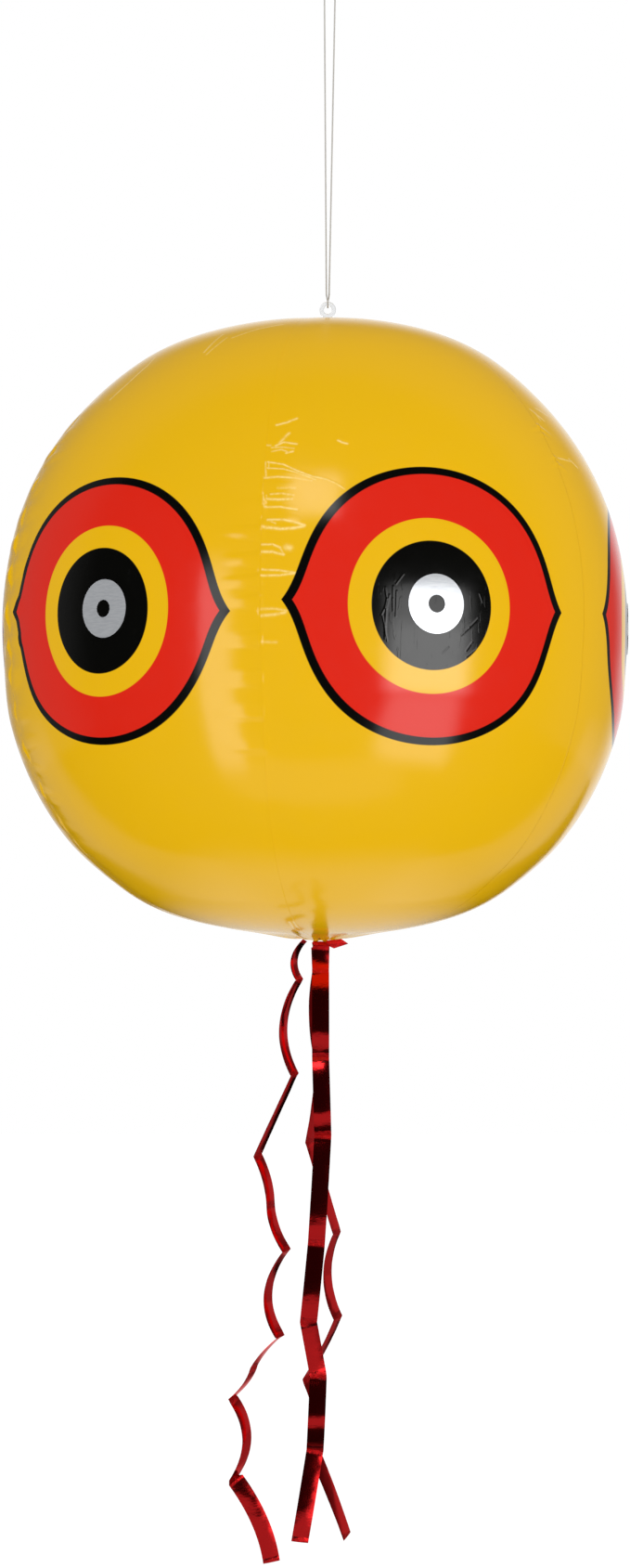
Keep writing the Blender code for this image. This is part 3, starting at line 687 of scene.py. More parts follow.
def filmPoint(longitude, latitude, out, ball):
    full = swellAt(latitude, ball)
    radius = (ball["radius"] + out) * math.cos(latitude) * full
    height = (ball["halfHeight"] + out) * math.sin(latitude) * full
    height += math.copysign(ball["peakHeight"] * math.exp(-((radius / ball["peakRadius"]) ** 2)), latitude)
    lean = ball["topLean" if latitude > 0 else "bottomLean"] * math.sin(latitude) ** 6
    around = Vector((radius * math.sin(longitude) + lean, -radius * math.cos(longitude), height))
    return Vector(ball["centre"]) + around


def swellNodes(tree, sine, given):
    square = maths(tree, "MULTIPLY", sine, sine)
    bump = maths(tree, "MULTIPLY", square, 4.0)
    bump = maths(tree, "MULTIPLY", bump, maths(tree, "SUBTRACT", 1.0, square))
    share = maths(tree, "SUBTRACT", given["Swell"], maths(tree, "MULTIPLY", given["Swell Sag"], sine))
    return maths(tree, "ADD", maths(tree, "MULTIPLY", share, bump), 1.0)


def goreTree():
    tree, given, result = newTree(
        "goreFilm",
        "GeometryNodeTree",
        [
            ("Geometry", "NodeSocketGeometry", None),
            ("Columns", "NodeSocketInt", 110),
            ("Rows", "NodeSocketInt", 600),
            ("Lap Columns", "NodeSocketInt", 3),
            ("Start Angle", "NodeSocketFloat", 0.0),
            ("Gore Angle", "NodeSocketFloat", math.pi / 3),
            ("Radius", "NodeSocketFloat", 0.2),
            ("Half Height", "NodeSocketFloat", 0.2),
            ("Swell", "NodeSocketFloat", 0.0),
            ("Swell Sag", "NodeSocketFloat", 0.0),
            ("Pole Radius", "NodeSocketFloat", 0.001),
            ("Peak Height", "NodeSocketFloat", 0.002),
            ("Peak Radius", "NodeSocketFloat", 0.03),
            ("Top Lean", "NodeSocketFloat", 0.0),
            ("Bottom Lean", "NodeSocketFloat", 0.0),
            ("Lap Width", "NodeSocketFloat", 0.004),
            ("Lap Depth", "NodeSocketFloat", 0.0005),
            ("Crowding", "NodeSocketFloat", 0.75),
            ("Centre", "NodeSocketVector", None),
            ("Material", "NodeSocketMaterial", None),
        ],
        [("Gore", "NodeSocketGeometry")],
    )
    grid = node(tree, "GeometryNodeMeshGrid")
    tree.links.new(given["Columns"], grid.inputs["Vertices X"])
    tree.links.new(given["Rows"], grid.inputs["Vertices Y"])
    spot = splitVector(tree, node(tree, "GeometryNodeInputPosition").outputs[0])
    lastColumn = maths(tree, "SUBTRACT", given["Columns"], 1.0)
    column = maths(tree, "ROUND", maths(tree, "MULTIPLY", maths(tree, "ADD", spot[0], 0.5), lastColumn))
    seamColumn = maths(tree, "SUBTRACT", lastColumn, given["Lap Columns"])
    # column 0 is the lip at the edge of the film, and the last ones go under the next gore
    share = maths(
        tree, "DIVIDE", maths(tree, "SUBTRACT", column, 1.0), maths(tree, "SUBTRACT", seamColumn, 1.0)
    )
    share = maths(tree, "MINIMUM", maths(tree, "MAXIMUM", share, 0.0), 1.0)
    wave = maths(tree, "SINE", maths(tree, "MULTIPLY", share, 2 * math.pi))
    wave = maths(tree, "MULTIPLY", maths(tree, "MULTIPLY", wave, given["Crowding"]), 1 / (2 * math.pi))
    share = maths(tree, "SUBTRACT", share, wave)
    past = maths(tree, "MAXIMUM", maths(tree, "SUBTRACT", column, seamColumn), 0.0)
    past = maths(tree, "DIVIDE", past, given["Lap Columns"])
    under = maths(tree, "GREATER_THAN", column, maths(tree, "SUBTRACT", seamColumn, 0.5))
    lip = maths(tree, "LESS_THAN", column, 0.5)
    most = maths(tree, "ARCCOSINE", maths(tree, "DIVIDE", given["Pole Radius"], given["Radius"]))
    latitude = maths(tree, "MULTIPLY", maths(tree, "MULTIPLY", spot[1], 2.0), most)
    sine, cosine = maths(tree, "SINE", latitude), maths(tree, "COSINE", latitude)
    lapAngle = maths(
        tree, "DIVIDE", maths(tree, "MULTIPLY", past, given["Lap Width"]),
        maths(tree, "MULTIPLY", given["Radius"], cosine),
    )
    lapAngle = maths(tree, "MINIMUM", lapAngle, maths(tree, "MULTIPLY", given["Gore Angle"], 0.6))
    longitude = maths(tree, "ADD", given["Start Angle"], maths(tree, "MULTIPLY", share, given["Gore Angle"]))
    longitude = maths(tree, "ADD", longitude, lapAngle)
    inward = maths(
        tree, "MULTIPLY", maths(tree, "ADD", under, maths(tree, "MULTIPLY", lip, 0.6)), given["Lap Depth"]
    )
    full = swellNodes(tree, sine, given)
    radius = maths(tree, "MULTIPLY", maths(tree, "SUBTRACT", given["Radius"], inward), cosine)
    radius = maths(tree, "MULTIPLY", radius, full)
    risen = maths(tree, "MULTIPLY", sine, full)
    height = maths(tree, "MULTIPLY", maths(tree, "SUBTRACT", given["Half Height"], inward), risen)
    peak = maths(tree, "POWER", maths(tree, "DIVIDE", radius, given["Peak Radius"]), 2.0)
    peak = maths(tree, "EXPONENT", maths(tree, "MULTIPLY", peak, -1.0))
    peak = maths(tree, "MULTIPLY", peak, given["Peak Height"])
    peak = maths(tree, "MULTIPLY", peak, maths(tree, "SIGN", sine))
    upper = maths(tree, "GREATER_THAN", sine, 0.0)
    lean = maths(tree, "ADD", given["Bottom Lean"], maths(
        tree, "MULTIPLY", upper, maths(tree, "SUBTRACT", given["Top Lean"], given["Bottom Lean"])
    ))
    lean = maths(tree, "MULTIPLY", lean, maths(tree, "POWER", maths(tree, "ABSOLUTE", sine), 6.0))
    x = maths(tree, "ADD", maths(tree, "MULTIPLY", radius, maths(tree, "SINE", longitude)), lean)
    y = maths(tree, "MULTIPLY", maths(tree, "MULTIPLY", radius, maths(tree, "COSINE", longitude)), -1.0)
    place = joinVector(tree, x, y, maths(tree, "ADD", height, peak))
    place = vectors(tree, "ADD", place, given["Centre"])
    shape = grid.outputs["Mesh"]
    # the printed latitude is the one of a plain ellipsoid at the same height
    printed = maths(tree, "ARCSINE", risen)
    for label, value in (("longitude", longitude), ("latitude", printed)):
        store = node(tree, "GeometryNodeStoreNamedAttribute", data_type="FLOAT", domain="POINT")
        store.inputs["Name"].default_value = label
        tree.links.new(shape, store.inputs["Geometry"])
        tree.links.new(value, store.inputs["Value"])
        shape = store.outputs["Geometry"]
    moved = node(tree, "GeometryNodeSetPosition")
    tree.links.new(shape, moved.inputs["Geometry"])
    tree.links.new(place, moved.inputs["Position"])
    finishTree(tree, moved.outputs[0], given["Material"], result[0])
    return tree


# Puckers that the welded seams draw in the film. Each row: place up the seam, half width, reach to
# the side, height, all in mm, and the slope away from level.

seamSettings = {
    "valleyDepth": 0.22,
    "valleyWidth": 7.0,
    "frontRight": [
        (75.0, 3.2, 34, 0.30, -0.16), (66.0, 3.0, 24, 0.22, -0.05), (58.5, 1.6, 19, 0.20, -0.03),
        (54.6, 1.6, 19, 0.22, 0.0), (43.5, 2.2, 24, 0.40, 0.02), (29.3, 2.2, 14, 0.38, -0.05),
        (16.2, 2.0, 20, 0.36, 0.0), (-5.2, 2.2, 16, 0.34, 0.0), (-21.6, 1.8, 9, 0.16, 0.0),
    ],
    "frontLeft": [
        (38.0, 4.0, 26, 0.80, 0.10), (23.0, 4.2, 24, 0.80, 0.04), (11.0, 4.0, 26, 0.85, 0.0),
        (0.0, 4.0, 22, 0.80, 0.0), (-20.5, 4.5, 28, 0.95, 0.0), (-41.0, 5.0, 26, 0.85, -0.04),
        (-59.0, 5.0, 28, 0.80, -0.06), (54.0, 4.0, 20, 0.45, 0.08), (-78.0, 5.0, 24, 0.45, -0.05),
    ],
    "smoothSeam": 1,
    "smoothRows": [
        (93.0, 1.6, 13, 0.45, -0.35), (97.5, 1.3, 10, 0.30, -0.3), (120.0, 1.8, 15, 0.50, -0.4),
        (114.0, 1.3, 9, 0.25, -0.3), (-30.0, 2.0, 9, 0.12, 0.0),
    ],
    # the seam at the left limb is drawn in further than the others
    "deepSeam": 5,
    "deepSpacing": (15.0, 27.0),
    "deepHeights": (0.8, 1.7),
    "deepWidths": (4.5, 8.5),
    "deepReaches": (22.0, 42.0),
    "plainSpacing": (9.0, 19.0),
    "plainHeights": (0.25, 0.75),
    "plainWidths": (2.6, 5.0),
    "plainReaches": (12.0, 30.0),
    # how far a seam's puckers reach in mm, and the degrees over which they fade out at a pole
    "seamReach": 60,
    "poleFade": 14,
    # long shallow creases that run to the poles: pole, number, depth and reach in mm
    "poleWaves": [(1, 22, 0.55, 26.0), (-1, 26, 0.75, 30.0)],
    "poleWaveStart": 8,
    "poleFoldStart": (11, 10),
    "unevenness": 0.10,
    # bulges halfway to the poles: height in mm, middle and width in degrees, more on the left
    "bulge": (3.0, 61.0, 12.0, 0.35),
    "bulgeClear": (24.0, 46.0),
    # the lower half is fuller: height in mm, and the degrees where it starts, is full, sinks and ends
    "lowBulge": (2.2, -6.0, -18.0, -42.0, -56.0),
    # the film sinks a little round both eyelets: pole, depth, distance from the pole and width in mm
    "dips": [(1, 1.6, 36.0, 18.0), (-1, 0.5, 36.0, 15.0)],
    # tension folds that run out from a pole: pole, longitude, reach, half width and height in mm
    "poleFolds": [
        (1, -78, 120, 5.0, 1.3), (1, -62, 84, 4.0, 0.9), (1, -98, 95, 6.0, 1.0), (1, -40, 60, 4.0, 0.7),
        (1, -128, 80, 5.0, 0.8), (1, 20, 42, 4.0, 0.5), (1, 72, 70, 5.0, 0.8), (1, 96, 92, 6.0, 1.0),
        (1, 128, 70, 5.0, 0.8), (1, 168, 80, 5.0, 0.8), (1, -160, 64, 4.0, 0.7),
        (-1, 1, 62, 5.0, 1.3), (-1, -26, 34, 2.2, 0.8), (-1, -12, 40, 2.4, 0.9), (-1, 14, 30, 2.4, 0.7),
        (-1, 36, 44, 3.0, 0.7), (-1, -60, 62, 4.0, 0.8), (-1, -90, 84, 5.0, 0.9), (-1, 84, 76, 5.0, 0.8),
        (-1, 120, 66, 4.0, 0.7), (-1, 160, 58, 4.0, 0.7), (-1, -140, 70, 5.0, 0.8),
    ],
    "seed": 11,
}


def puckerHeights(s, m, row, side):
    middle, halfWidth, reach, height, slope = row
    away = s * side
    share = np.clip(away / reach, -1, 1)
    across = (m - middle - slope * away) / (halfWidth * (1 - 0.45 * np.clip(share, 0, 1)))
    fade = np.where(share >= 0, (1 - share**2) ** 2, np.exp(-((away / 1.5) ** 2)))
    return height * np.exp(-(across**4)) * fade


def seamRows(settings):
    rng = np.random.default_rng(settings["seed"])
    rows = {}
    for seam in range(6):
        for side in (-1, 1):
            if seam == settings["smoothSeam"]:
                rows[seam, side] = settings["smoothRows"]
                continue
            if seam == 0:
                rows[seam, side] = settings["frontRight" if side == 1 else "frontLeft"]
                continue
            made, place = [], -150.0
            kind = "deep" if seam == settings["deepSeam"] else "plain"
            while place < 150:
                fade = 1 - (abs(place) / 170) ** 2
                made.append((
                    place,
                    rng.uniform(*settings[kind + "Widths"]),
                    rng.uniform(*settings[kind + "Reaches"]),
                    rng.uniform(*settings[kind + "Heights"]) * fade,
                    rng.uniform(-0.12, 0.12),
                ))
                place += rng.uniform(*settings[kind + "Spacing"])
            rows[seam, side] = made
    return rows


def seamHeights(longitude, latitude, m, across, settings, seams, rows):
    height = np.zeros(len(m))
    fade = np.clip((90 - np.abs(np.degrees(latitude))) / seams["poleFade"], 0, 1)
    for seam in range(6):
        angle = math.radians(settings["firstSeam"] + 60 * seam)
        turn = (longitude - angle + math.pi) % (2 * math.pi) - math.pi
        s = across * turn
        near = np.abs(s) < seams["seamReach"]
        if not near.any():
            continue
        sNear, mNear = s[near], m[near]
        made = np.zeros(len(sNear))
        if seam != seams["smoothSeam"]:
            made -= seams["valleyDepth"] * np.exp(-((sNear / seams["valleyWidth"]) ** 2))
        for side in (-1, 1):
            for row in rows[seam, side]:
                made += puckerHeights(sNear, mNear, row, side)
        height[near] += made * fade[near]
    return height


def poleHeights(longitude, m, across, settings, seams):
    height = np.zeros(len(m))
    quarter = settings["halfHeight"] * 1000 * math.pi / 2
    for pole, waves, depth, reach in seams["poleWaves"]:
        away = np.maximum(quarter - pole * m, 0)
        wave = np.sin(longitude * waves / 2 + 1.3 * np.sin(longitude * 3 + pole))
        wave += 0.5 * np.sin(longitude * waves + 2.1 * np.sin(longitude * 5))
        first = seams["poleWaveStart"]
        height += depth * wave * np.clip((away - first) / first, 0, 1) * np.exp(-((away / reach) ** 2))
    for pole, depth, middle, width in seams["dips"]:
        height -= depth * np.exp(-(((quarter - pole * m - middle) / width) ** 2))
    first, rise = seams["poleFoldStart"]
    for pole, turn, reach, halfWidth, tall in seams["poleFolds"]:
        away = quarter - pole * m
        s = (longitude - math.radians(turn) + math.pi) % (2 * math.pi) - math.pi
        share = np.clip(away / reach, 0, 1)
        ridge = np.exp(-((across * s / (halfWidth * (0.4 + share))) ** 2)) * (np.cos(s) > 0)
        height += tall * ridge * (1 - share**2) ** 2 * np.clip((away - first) / rise, 0, 1)
    return height


def bulgeHeights(longitude, latitude, m, across, settings, seams):
    degrees = np.degrees(latitude)
    most, middle, width, leaning = seams["bulge"]
    bulge = most * np.exp(-(((np.abs(degrees) - middle) / width) ** 2))
    bulge *= 0.55 + 0.45 * np.sin(longitude) ** 2 * (1 - leaning * np.sin(longitude))
    tall, start, full, sink, end = seams["lowBulge"]
    rising = np.clip((start - degrees) / (start - full), 0, 1)
    sinking = np.clip((degrees - end) / (sink - end), 0, 1)
    bulge += tall * rising * rising * (3 - 2 * rising) * sinking * sinking * (3 - 2 * sinking)
    # nothing bulges under the valve's flange
    aside = across * (longitude - math.radians(settings["valveLongitude"]))
    far = np.hypot(aside, m - settings["halfHeight"] * 1000 * math.radians(settings["valveLatitude"]))
    low, high = seams["bulgeClear"]
    clear = np.clip((far - low) / (high - low), 0, 1)
    return bulge * clear * clear * (3 - 2 * clear)


def wrinkledFilm(mesh, settings, seams, rows):
    # moves the film's points outward or inward, by heights in mm
    count = len(mesh.vertices)
    longitude, latitude = np.empty(count, "f"), np.empty(count, "f")
    mesh.attributes["longitude"].data.foreach_get("value", longitude)
    mesh.attributes["latitude"].data.foreach_get("value", latitude)
    places = np.empty(count * 3, "f")
    mesh.vertices.foreach_get("co", places)
    places = places.reshape(-1, 3).astype("f8")
    longitude, latitude = longitude.astype("f8"), latitude.astype("f8")
    m = settings["halfHeight"] * 1000 * latitude
    across = settings["radius"] * 1000 * np.cos(latitude)
    height = seamHeights(longitude, latitude, m, across, settings, seams, rows)
    height += poleHeights(longitude, m, across, settings, seams)
    height += bulgeHeights(longitude, latitude, m, across, settings, seams)
    uneven = np.sin(longitude * 5 + 2 * np.sin(latitude * 4)) * np.sin(latitude * 7 + longitude * 2)
    height += seams["unevenness"] * uneven
    out = places - np.array(settings["centre"])
    out /= np.linalg.norm(out, axis=1)[:, None]
    places += out * (height / 1000)[:, None]
    mesh.vertices.foreach_set("co", places.astype("f").ravel())
    return longitude, latitude


def paintedCoordinates(mesh, settings, index, longitude, latitude):
    loops = np.empty(len(mesh.loops), "i")
    mesh.loops.foreach_get("vertex_index", loops)
    start = math.radians(settings["firstSeam"] + 60 * index)
    eye = math.radians(settings["eyes"][index])
    across = settings["radius"] * np.cos(latitude)
    up = settings["halfHeight"] * latitude
    tilt = math.radians(settings["eyeTilts"][index])
    x, y = across * (longitude - eye), up - settings["eyeRises"][index]
    right, rise = settings["ringShifts"][index]
    wide, tall = settings["eyeScales"][index]
    sheets = {
        "print": (
            (x * math.cos(tilt) - y * math.sin(tilt)) / wide,
            (x * math.sin(tilt) + y * math.cos(tilt)) / tall,
        ),
        "rings": (x - right, y - rise),
        "leftSeam": (across * (longitude - start), up),
        "rightSeam": (across * (longitude - start - math.pi / 3), up),
    }
    for label, (first, second) in sheets.items():
        layer = mesh.uv_layers.new(name=label)
        both = np.stack([first[loops], second[loops]], axis=1).astype("f")
        layer.uv.foreach_set("vector", both.ravel())


# Film: yellow vinyl with a printed eye, glossy, with fine creases

filmSettings = {
    "yellow": (0.80, 0.452, 0.002, 1),
    "red": (0.70, 0.016, 0.005, 1),
    "ink": (0.002, 0.002, 0.0015, 1),
    "roughness": 0.14,
}


def eyeGroup():
    tree, given, result = newTree(
        "eyePrint",
        "ShaderNodeTree",
        [
            ("Vector", "NodeSocketVector", None),
            ("Rings", "NodeSocketVector", None),
            ("Radius", "NodeSocketFloat", 0.0787),
            ("Tip Reach", "NodeSocketFloat", 0.0088),
            ("Inner Tip Reach", "NodeSocketFloat", 0.0074),
            ("Tip Width", "NodeSocketFloat", 0.128),
            ("Outline", "NodeSocketFloat", 0.0046),
            ("Ring Radius", "NodeSocketFloat", 0.0485),
            ("Disc Radius", "NodeSocketFloat", 0.0356),
            ("Edge", "NodeSocketFloat", 0.0003),
            ("Film", "NodeSocketColor", (0.8, 0.5, 0.0, 1)),
            ("Red", "NodeSocketColor", (0.7, 0.0, 0.0, 1)),
            ("Ink", "NodeSocketColor", (0.0, 0.0, 0.0, 1)),
        ],
        [("Color", "NodeSocketColor"), ("Disc", "NodeSocketFloat"), ("Printed", "NodeSocketFloat")],
    )
    flat = vectors(tree, "MULTIPLY", given["Vector"], (1, 1, 0))
    distance = vectors(tree, "LENGTH", flat)
    side = maths(tree, "ABSOLUTE", splitVector(tree, flat)[1])
    angle = maths(tree, "ARCSINE", maths(tree, "DIVIDE", side, maths(tree, "MAXIMUM", distance, 0.0001)))
    tip = maths(tree, "MULTIPLY", maths(tree, "DIVIDE", angle, given["Tip Width"]), -1.0)
    tip = maths(tree, "EXPONENT", tip)
    rim = maths(tree, "ADD", given["Radius"], maths(tree, "MULTIPLY", tip, given["Tip Reach"]))

    fromRings = vectors(tree, "LENGTH", vectors(tree, "MULTIPLY", given["Rings"], (1, 1, 0)))

    def inside(away, limit):
        return softStep(
            tree, away, maths(tree, "SUBTRACT", limit, given["Edge"]),
            maths(tree, "ADD", limit, given["Edge"]), 1.0, 0.0,
        )

    printed = inside(distance, rim)
    inner = maths(tree, "SUBTRACT", given["Radius"], given["Outline"])
    inner = maths(tree, "ADD", inner, maths(tree, "MULTIPLY", tip, given["Inner Tip Reach"]))
    field = inside(distance, inner)
    ring = inside(fromRings, given["Ring Radius"])
    disc = inside(fromRings, given["Disc Radius"])
    color = mixColors(tree, printed, given["Film"], given["Ink"])
    color = mixColors(tree, field, color, given["Red"])
    color = mixColors(tree, ring, color, given["Film"])
    color = mixColors(tree, disc, color, given["Ink"])
    tree.links.new(color, result["Color"])
    tree.links.new(disc, result["Disc"])
    tree.links.new(printed, result["Printed"])
    return tree


def creaseGroup():
    tree, given, result = newTree(
        "crease",
        "ShaderNodeTree",
        [
            ("Vector", "NodeSocketVector", None),
            ("Start", "NodeSocketVector", None),
            ("End", "NodeSocketVector", None),
            ("Width", "NodeSocketFloat", 0.0004),
            ("Height", "NodeSocketFloat", 0.0001),
        ],
        [("Height", "NodeSocketFloat"), ("Line", "NodeSocketFloat")],
    )
    spot = vectors(tree, "SUBTRACT", vectors(tree, "MULTIPLY", given["Vector"], (1, 1, 0)), given["Start"])
    line = vectors(tree, "SUBTRACT", given["End"], given["Start"])
    share = maths(
        tree, "DIVIDE", vectors(tree, "DOT_PRODUCT", spot, line), vectors(tree, "DOT_PRODUCT", line, line)
    )
    share = maths(tree, "MINIMUM", maths(tree, "MAXIMUM", share, 0.0), 1.0)
    away = vectors(tree, "DISTANCE", spot, vectors(tree, "SCALE", line, share))
    away = maths(tree, "POWER", maths(tree, "DIVIDE", away, given["Width"]), 2.0)
    rise = maths(tree, "EXPONENT", maths(tree, "MULTIPLY", away, -1.0))
    tree.links.new(rise, result["Line"])
    tree.links.new(maths(tree, "MULTIPLY", rise, given["Height"]), result["Height"])
    return tree


def surfaceGroup():
    tree, given, result = newTree(
        "filmSurface",
        "ShaderNodeTree",
        [
            ("Vector", "NodeSocketVector", None),
            ("Disc", "NodeSocketFloat", 0.0),
            ("Roughness", "NodeSocketFloat", 0.2),
            ("Scratches", "NodeSocketFloat", 1.0),
        ],
        [("Height", "NodeSocketFloat"), ("Roughness", "NodeSocketFloat")],
    )
    slow = noiseValue(tree, given["Vector"], 38.0, 2.0, 0.5)
    long = noiseValue(tree, vectors(tree, "MULTIPLY", given["Vector"], (420, 60, 1)), 1.0, 3.0, 0.55, 0.6)
    lines = softStep(tree, long, 0.60, 0.66)
    mark = maths(tree, "ADD", maths(tree, "MULTIPLY", given["Disc"], 0.9), 0.10)
    mark = maths(tree, "MULTIPLY", lines, mark)
    mark = maths(tree, "MULTIPLY", mark, given["Scratches"])
    height = maths(tree, "MULTIPLY", slow, 0.00012)
    height = maths(tree, "ADD", height, maths(tree, "MULTIPLY", mark, 0.00002))
    patches = noiseValue(tree, given["Vector"], 90.0, 3.0, 0.6)
    rough = maths(tree, "MULTIPLY", maths(tree, "SUBTRACT", patches, 0.5), 0.08)
    rough = maths(tree, "ADD", given["Roughness"], rough)
    tree.links.new(height, result["Height"])
    tree.links.new(rough, result["Roughness"])
    return tree


# Creases: start and end in mm to the right of the seam and up from the equator, width in mm, strength
creaseSettings = {
    "height": 0.09,
    # painted highlight: the crease lines are coloured lighter, in place of the glints their ridges catch
    "tint": (0.98, 0.74, 0.27, 1),
    "tintShare": 0.85,
    "narrowing": 0.95,
    "rightOfSeam": [
        (1.7, 80.5, 10.2, 78.7, 0.5, 1.0),
        (10.2, 78.7, 17.6, 74.7, 0.5, 1.0),
        (17.6, 74.7, 26.0, 71.1, 0.5, 1.0),
        (26.0, 71.1, 34.2, 69.3, 0.5, 1.0),
        (34.2, 69.3, 39.4, 66.9, 0.5, 0.5),
        (39.4, 66.9, 44.1, 63.6, 0.5, 0.5),
        (1.6, 76.5, 10.4, 75.7, 0.45, 0.9),
        (10.4, 75.7, 17.7, 73.3, 0.45, 0.9),
        (17.7, 73.3, 28.1, 69.1, 0.45, 0.9),
        (0.3, 80.5, 1.1, 70.7, 0.45, 0.7),
        (2.1, 80.5, 2.4, 75.9, 0.35, 0.6),
        (0.5, 70.5, 7.6, 70.9, 0.6, 0.9),
        (7.6, 70.9, 16.9, 70.0, 0.6, 0.9),
        (16.9, 70.0, 26.1, 68.4, 0.5, 0.4),
        (8.0, 64.0, 17.2, 63.9, 0.7, 0.35),
        (4.3, 60.5, 10.2, 60.8, 0.6, 0.7),
        (10.2, 60.8, 16.6, 59.6, 0.6, 0.7),
        (2.2, 57.8, 8.4, 57.1, 0.7, 1.0),
        (8.4, 57.1, 15.7, 57.4, 0.7, 1.0),
        (1.4, 52.9, 9.6, 52.8, 0.6, 0.8),
        (9.6, 52.8, 18.8, 51.0, 0.6, 0.8),
        (-0.0, 61.4, 1.0, 53.2, 0.4, 0.6),
        (1.9, 59.9, 2.3, 57.1, 0.35, 0.5),
        (3.3, 45.4, 12.0, 45.4, 0.7, 0.9),
        (12.0, 45.4, 19.1, 43.4, 0.7, 0.9),
        (19.1, 43.4, 23.2, 41.9, 0.7, 0.9),
        (1.5, 41.3, 11.1, 40.1, 0.8, 1.0),
        (11.1, 40.1, 19.2, 40.6, 0.8, 1.0),
        (19.2, 40.6, 23.2, 41.7, 0.8, 1.0),
        (4.3, 44.9, 7.5, 43.2, 0.5, 0.5),
        (-0.2, 31.6, 6.3, 31.5, 0.6, 0.8),
        (6.3, 31.5, 10.4, 29.7, 0.6, 0.8),
        (10.4, 29.7, 12.3, 26.0, 0.6, 0.8),
        (-0.1, 27.5, 6.4, 27.4, 0.7, 0.9),
        (6.4, 27.4, 12.4, 25.8, 0.7, 0.9),
        (14.0, 29.8, 15.7, 29.4, 1.6, 0.8),
        (0.9, 17.7, 9.7, 17.1, 0.6, 0.8),
        (9.7, 17.1, 18.3, 15.8, 0.6, 0.8),
        (-0.0, 14.4, 9.7, 14.4, 0.6, 0.9),
        (9.7, 14.4, 18.3, 15.4, 0.6, 0.9),
        (18.8, 15.4, 20.0, 15.6, 0.8, 0.9),
        (0.1, -3.8, 7.8, -3.6, 0.7, 0.6),
        (7.8, -3.6, 14.3, -4.9, 0.7, 0.6),
        (-0.4, -7.4, 6.8, -7.0, 0.8, 0.8),
        (6.8, -7.0, 13.8, -5.7, 0.8, 0.8),
        (-0.6, -21.4, 8.6, -21.9, 0.8, 0.4),
        (-1.6, -20.8, -1.4, -23.4, 0.5, 0.8),
        (4.5, 105.4, 10.1, 107.1, 0.7, 0.9),
        (10.1, 107.1, 15.1, 109.8, 0.7, 0.9),
        (-5.8, 97.5, -1.2, 99.7, 0.6, 0.4),
        (7.2, 92.7, 9.5, 96.1, 0.8, 0.7),
        (9.5, 96.1, 11.8, 99.3, 0.8, 0.7),
        (5.2, 91.0, 9.2, 93.2, 0.6, 0.9),
        (9.2, 93.2, 16.5, 91.9, 0.6, 0.9),
        (3.2, 89.8, 9.4, 89.9, 0.5, 0.7),
        (9.4, 89.9, 15.2, 89.0, 0.5, 0.7),
        (3.4, 87.3, 8.5, 88.4, 0.5, 0.7),
        (8.5, 88.4, 11.9, 86.8, 0.5, 0.7),
        (11.3, 86.0, 14.8, 87.0, 0.6, 0.8),
        (-5.7, 92.1, -5.0, 88.6, 0.4, 0.7),
        (-2.7, 92.0, 2.3, 91.3, 0.6, 0.5),
        (38.7, 94.4, 41.0, 93.1, 0.6, 1.0),
        (41.0, 93.1, 44.0, 92.2, 0.6, 1.0),
    ],
    "leftOfSeam": [
        (-48.1, 177.4, -44.1, 192.9, 0.7, 0.6),
        (-44.1, 192.9, -41.7, 201.8, 0.7, 0.5),
        (-45.7, 174.0, -40.8, 185.8, 0.6, 0.5),
        (-40.8, 185.8, -37.3, 195.2, 0.6, 0.5),
        (-33.5, 193.9, -20.4, 205.3, 0.8, 0.5),
        (-20.4, 205.3, -7.8, 212.7, 0.8, 0.5),
        (-114.8, 143.2, -103.7, 156.0, 0.7, 0.8),
        (-103.7, 156.0, -91.9, 174.3, 0.7, 0.8),
        (-91.9, 174.3, -90.2, 184.0, 0.6, 0.6),
        (-115.5, 175.7, -104.0, 183.2, 0.8, 0.8),
        (-3.2, -227.7, -3.0, -252.7, 0.6, 0.7),
        (-1.0, -227.6, -0.6, -245.4, 0.6, 0.7),
    ],
    "rightLimb": [
        (9.3, 213.9, 18.3, 202.2, 0.6, 0.8),
        (22.9, 195.5, 15.5, 176.9, 0.6, 0.8),
        (4.2, 135.6, 13.7, 128.0, 0.6, 0.8),
        (14.1, 138.6, 27.0, 135.4, 0.6, 0.8),
        (7.2, 133.7, 8.5, 127.0, 0.6, 0.6),
        (4.8, 97.8, 21.3, 98.3, 0.6, 0.7),
        (20.3, 99.9, 29.3, 95.1, 0.6, 0.8),
    ],
    # on the print: start and end in mm from the middle of the eye
    "onPrint": [
        (-30.8, 7.4, -29.8, 1.3, 0.5, 1.0),
        (-29.8, 1.3, -30.8, -3.4, 0.5, 1.0),
        (-30.8, -3.4, -32.8, -7.5, 0.5, 1.0),
        (-26.3, 8.2, -26.5, 1.5, 0.5, 1.0),
        (-26.5, 1.5, -26.3, -5.3, 0.5, 1.0),
        (-28.4, 3.4, -30.1, -4.1, 0.6, 1.0),
        (-30.1, -4.1, -30.5, -13.5, 0.6, 1.0),
        (-30.5, -13.5, -30.3, -20.2, 0.6, 1.0),
        (-32.1, -8.1, -30.5, -14.8, 0.4, 1.0),
        (-30.5, -14.8, -29.1, -21.5, 0.4, 1.0),
        (-24.4, 5.6, -24.7, -7.9, 0.5, 1.0),
        (24.5, -7.2, 19.1, -12.3, 0.6, 1.0),
        (19.1, -12.3, 13.9, -17.0, 0.6, 1.0),
        (25.2, 6.5, 27.2, 1.8, 0.4, 1.0),
        (21.1, -20.4, 17.5, -25.3, 0.5, 1.0),
        (6.6, -23.7, 3.1, -27.3, 0.5, 1.0),
        (23.8, -24.4, 17.8, -28.7, 0.5, 1.0),
        (-20.3, 15.3, -24.6, 9.7, 0.5, 1.0),
    ],
    "printHeight": 0.05,
}


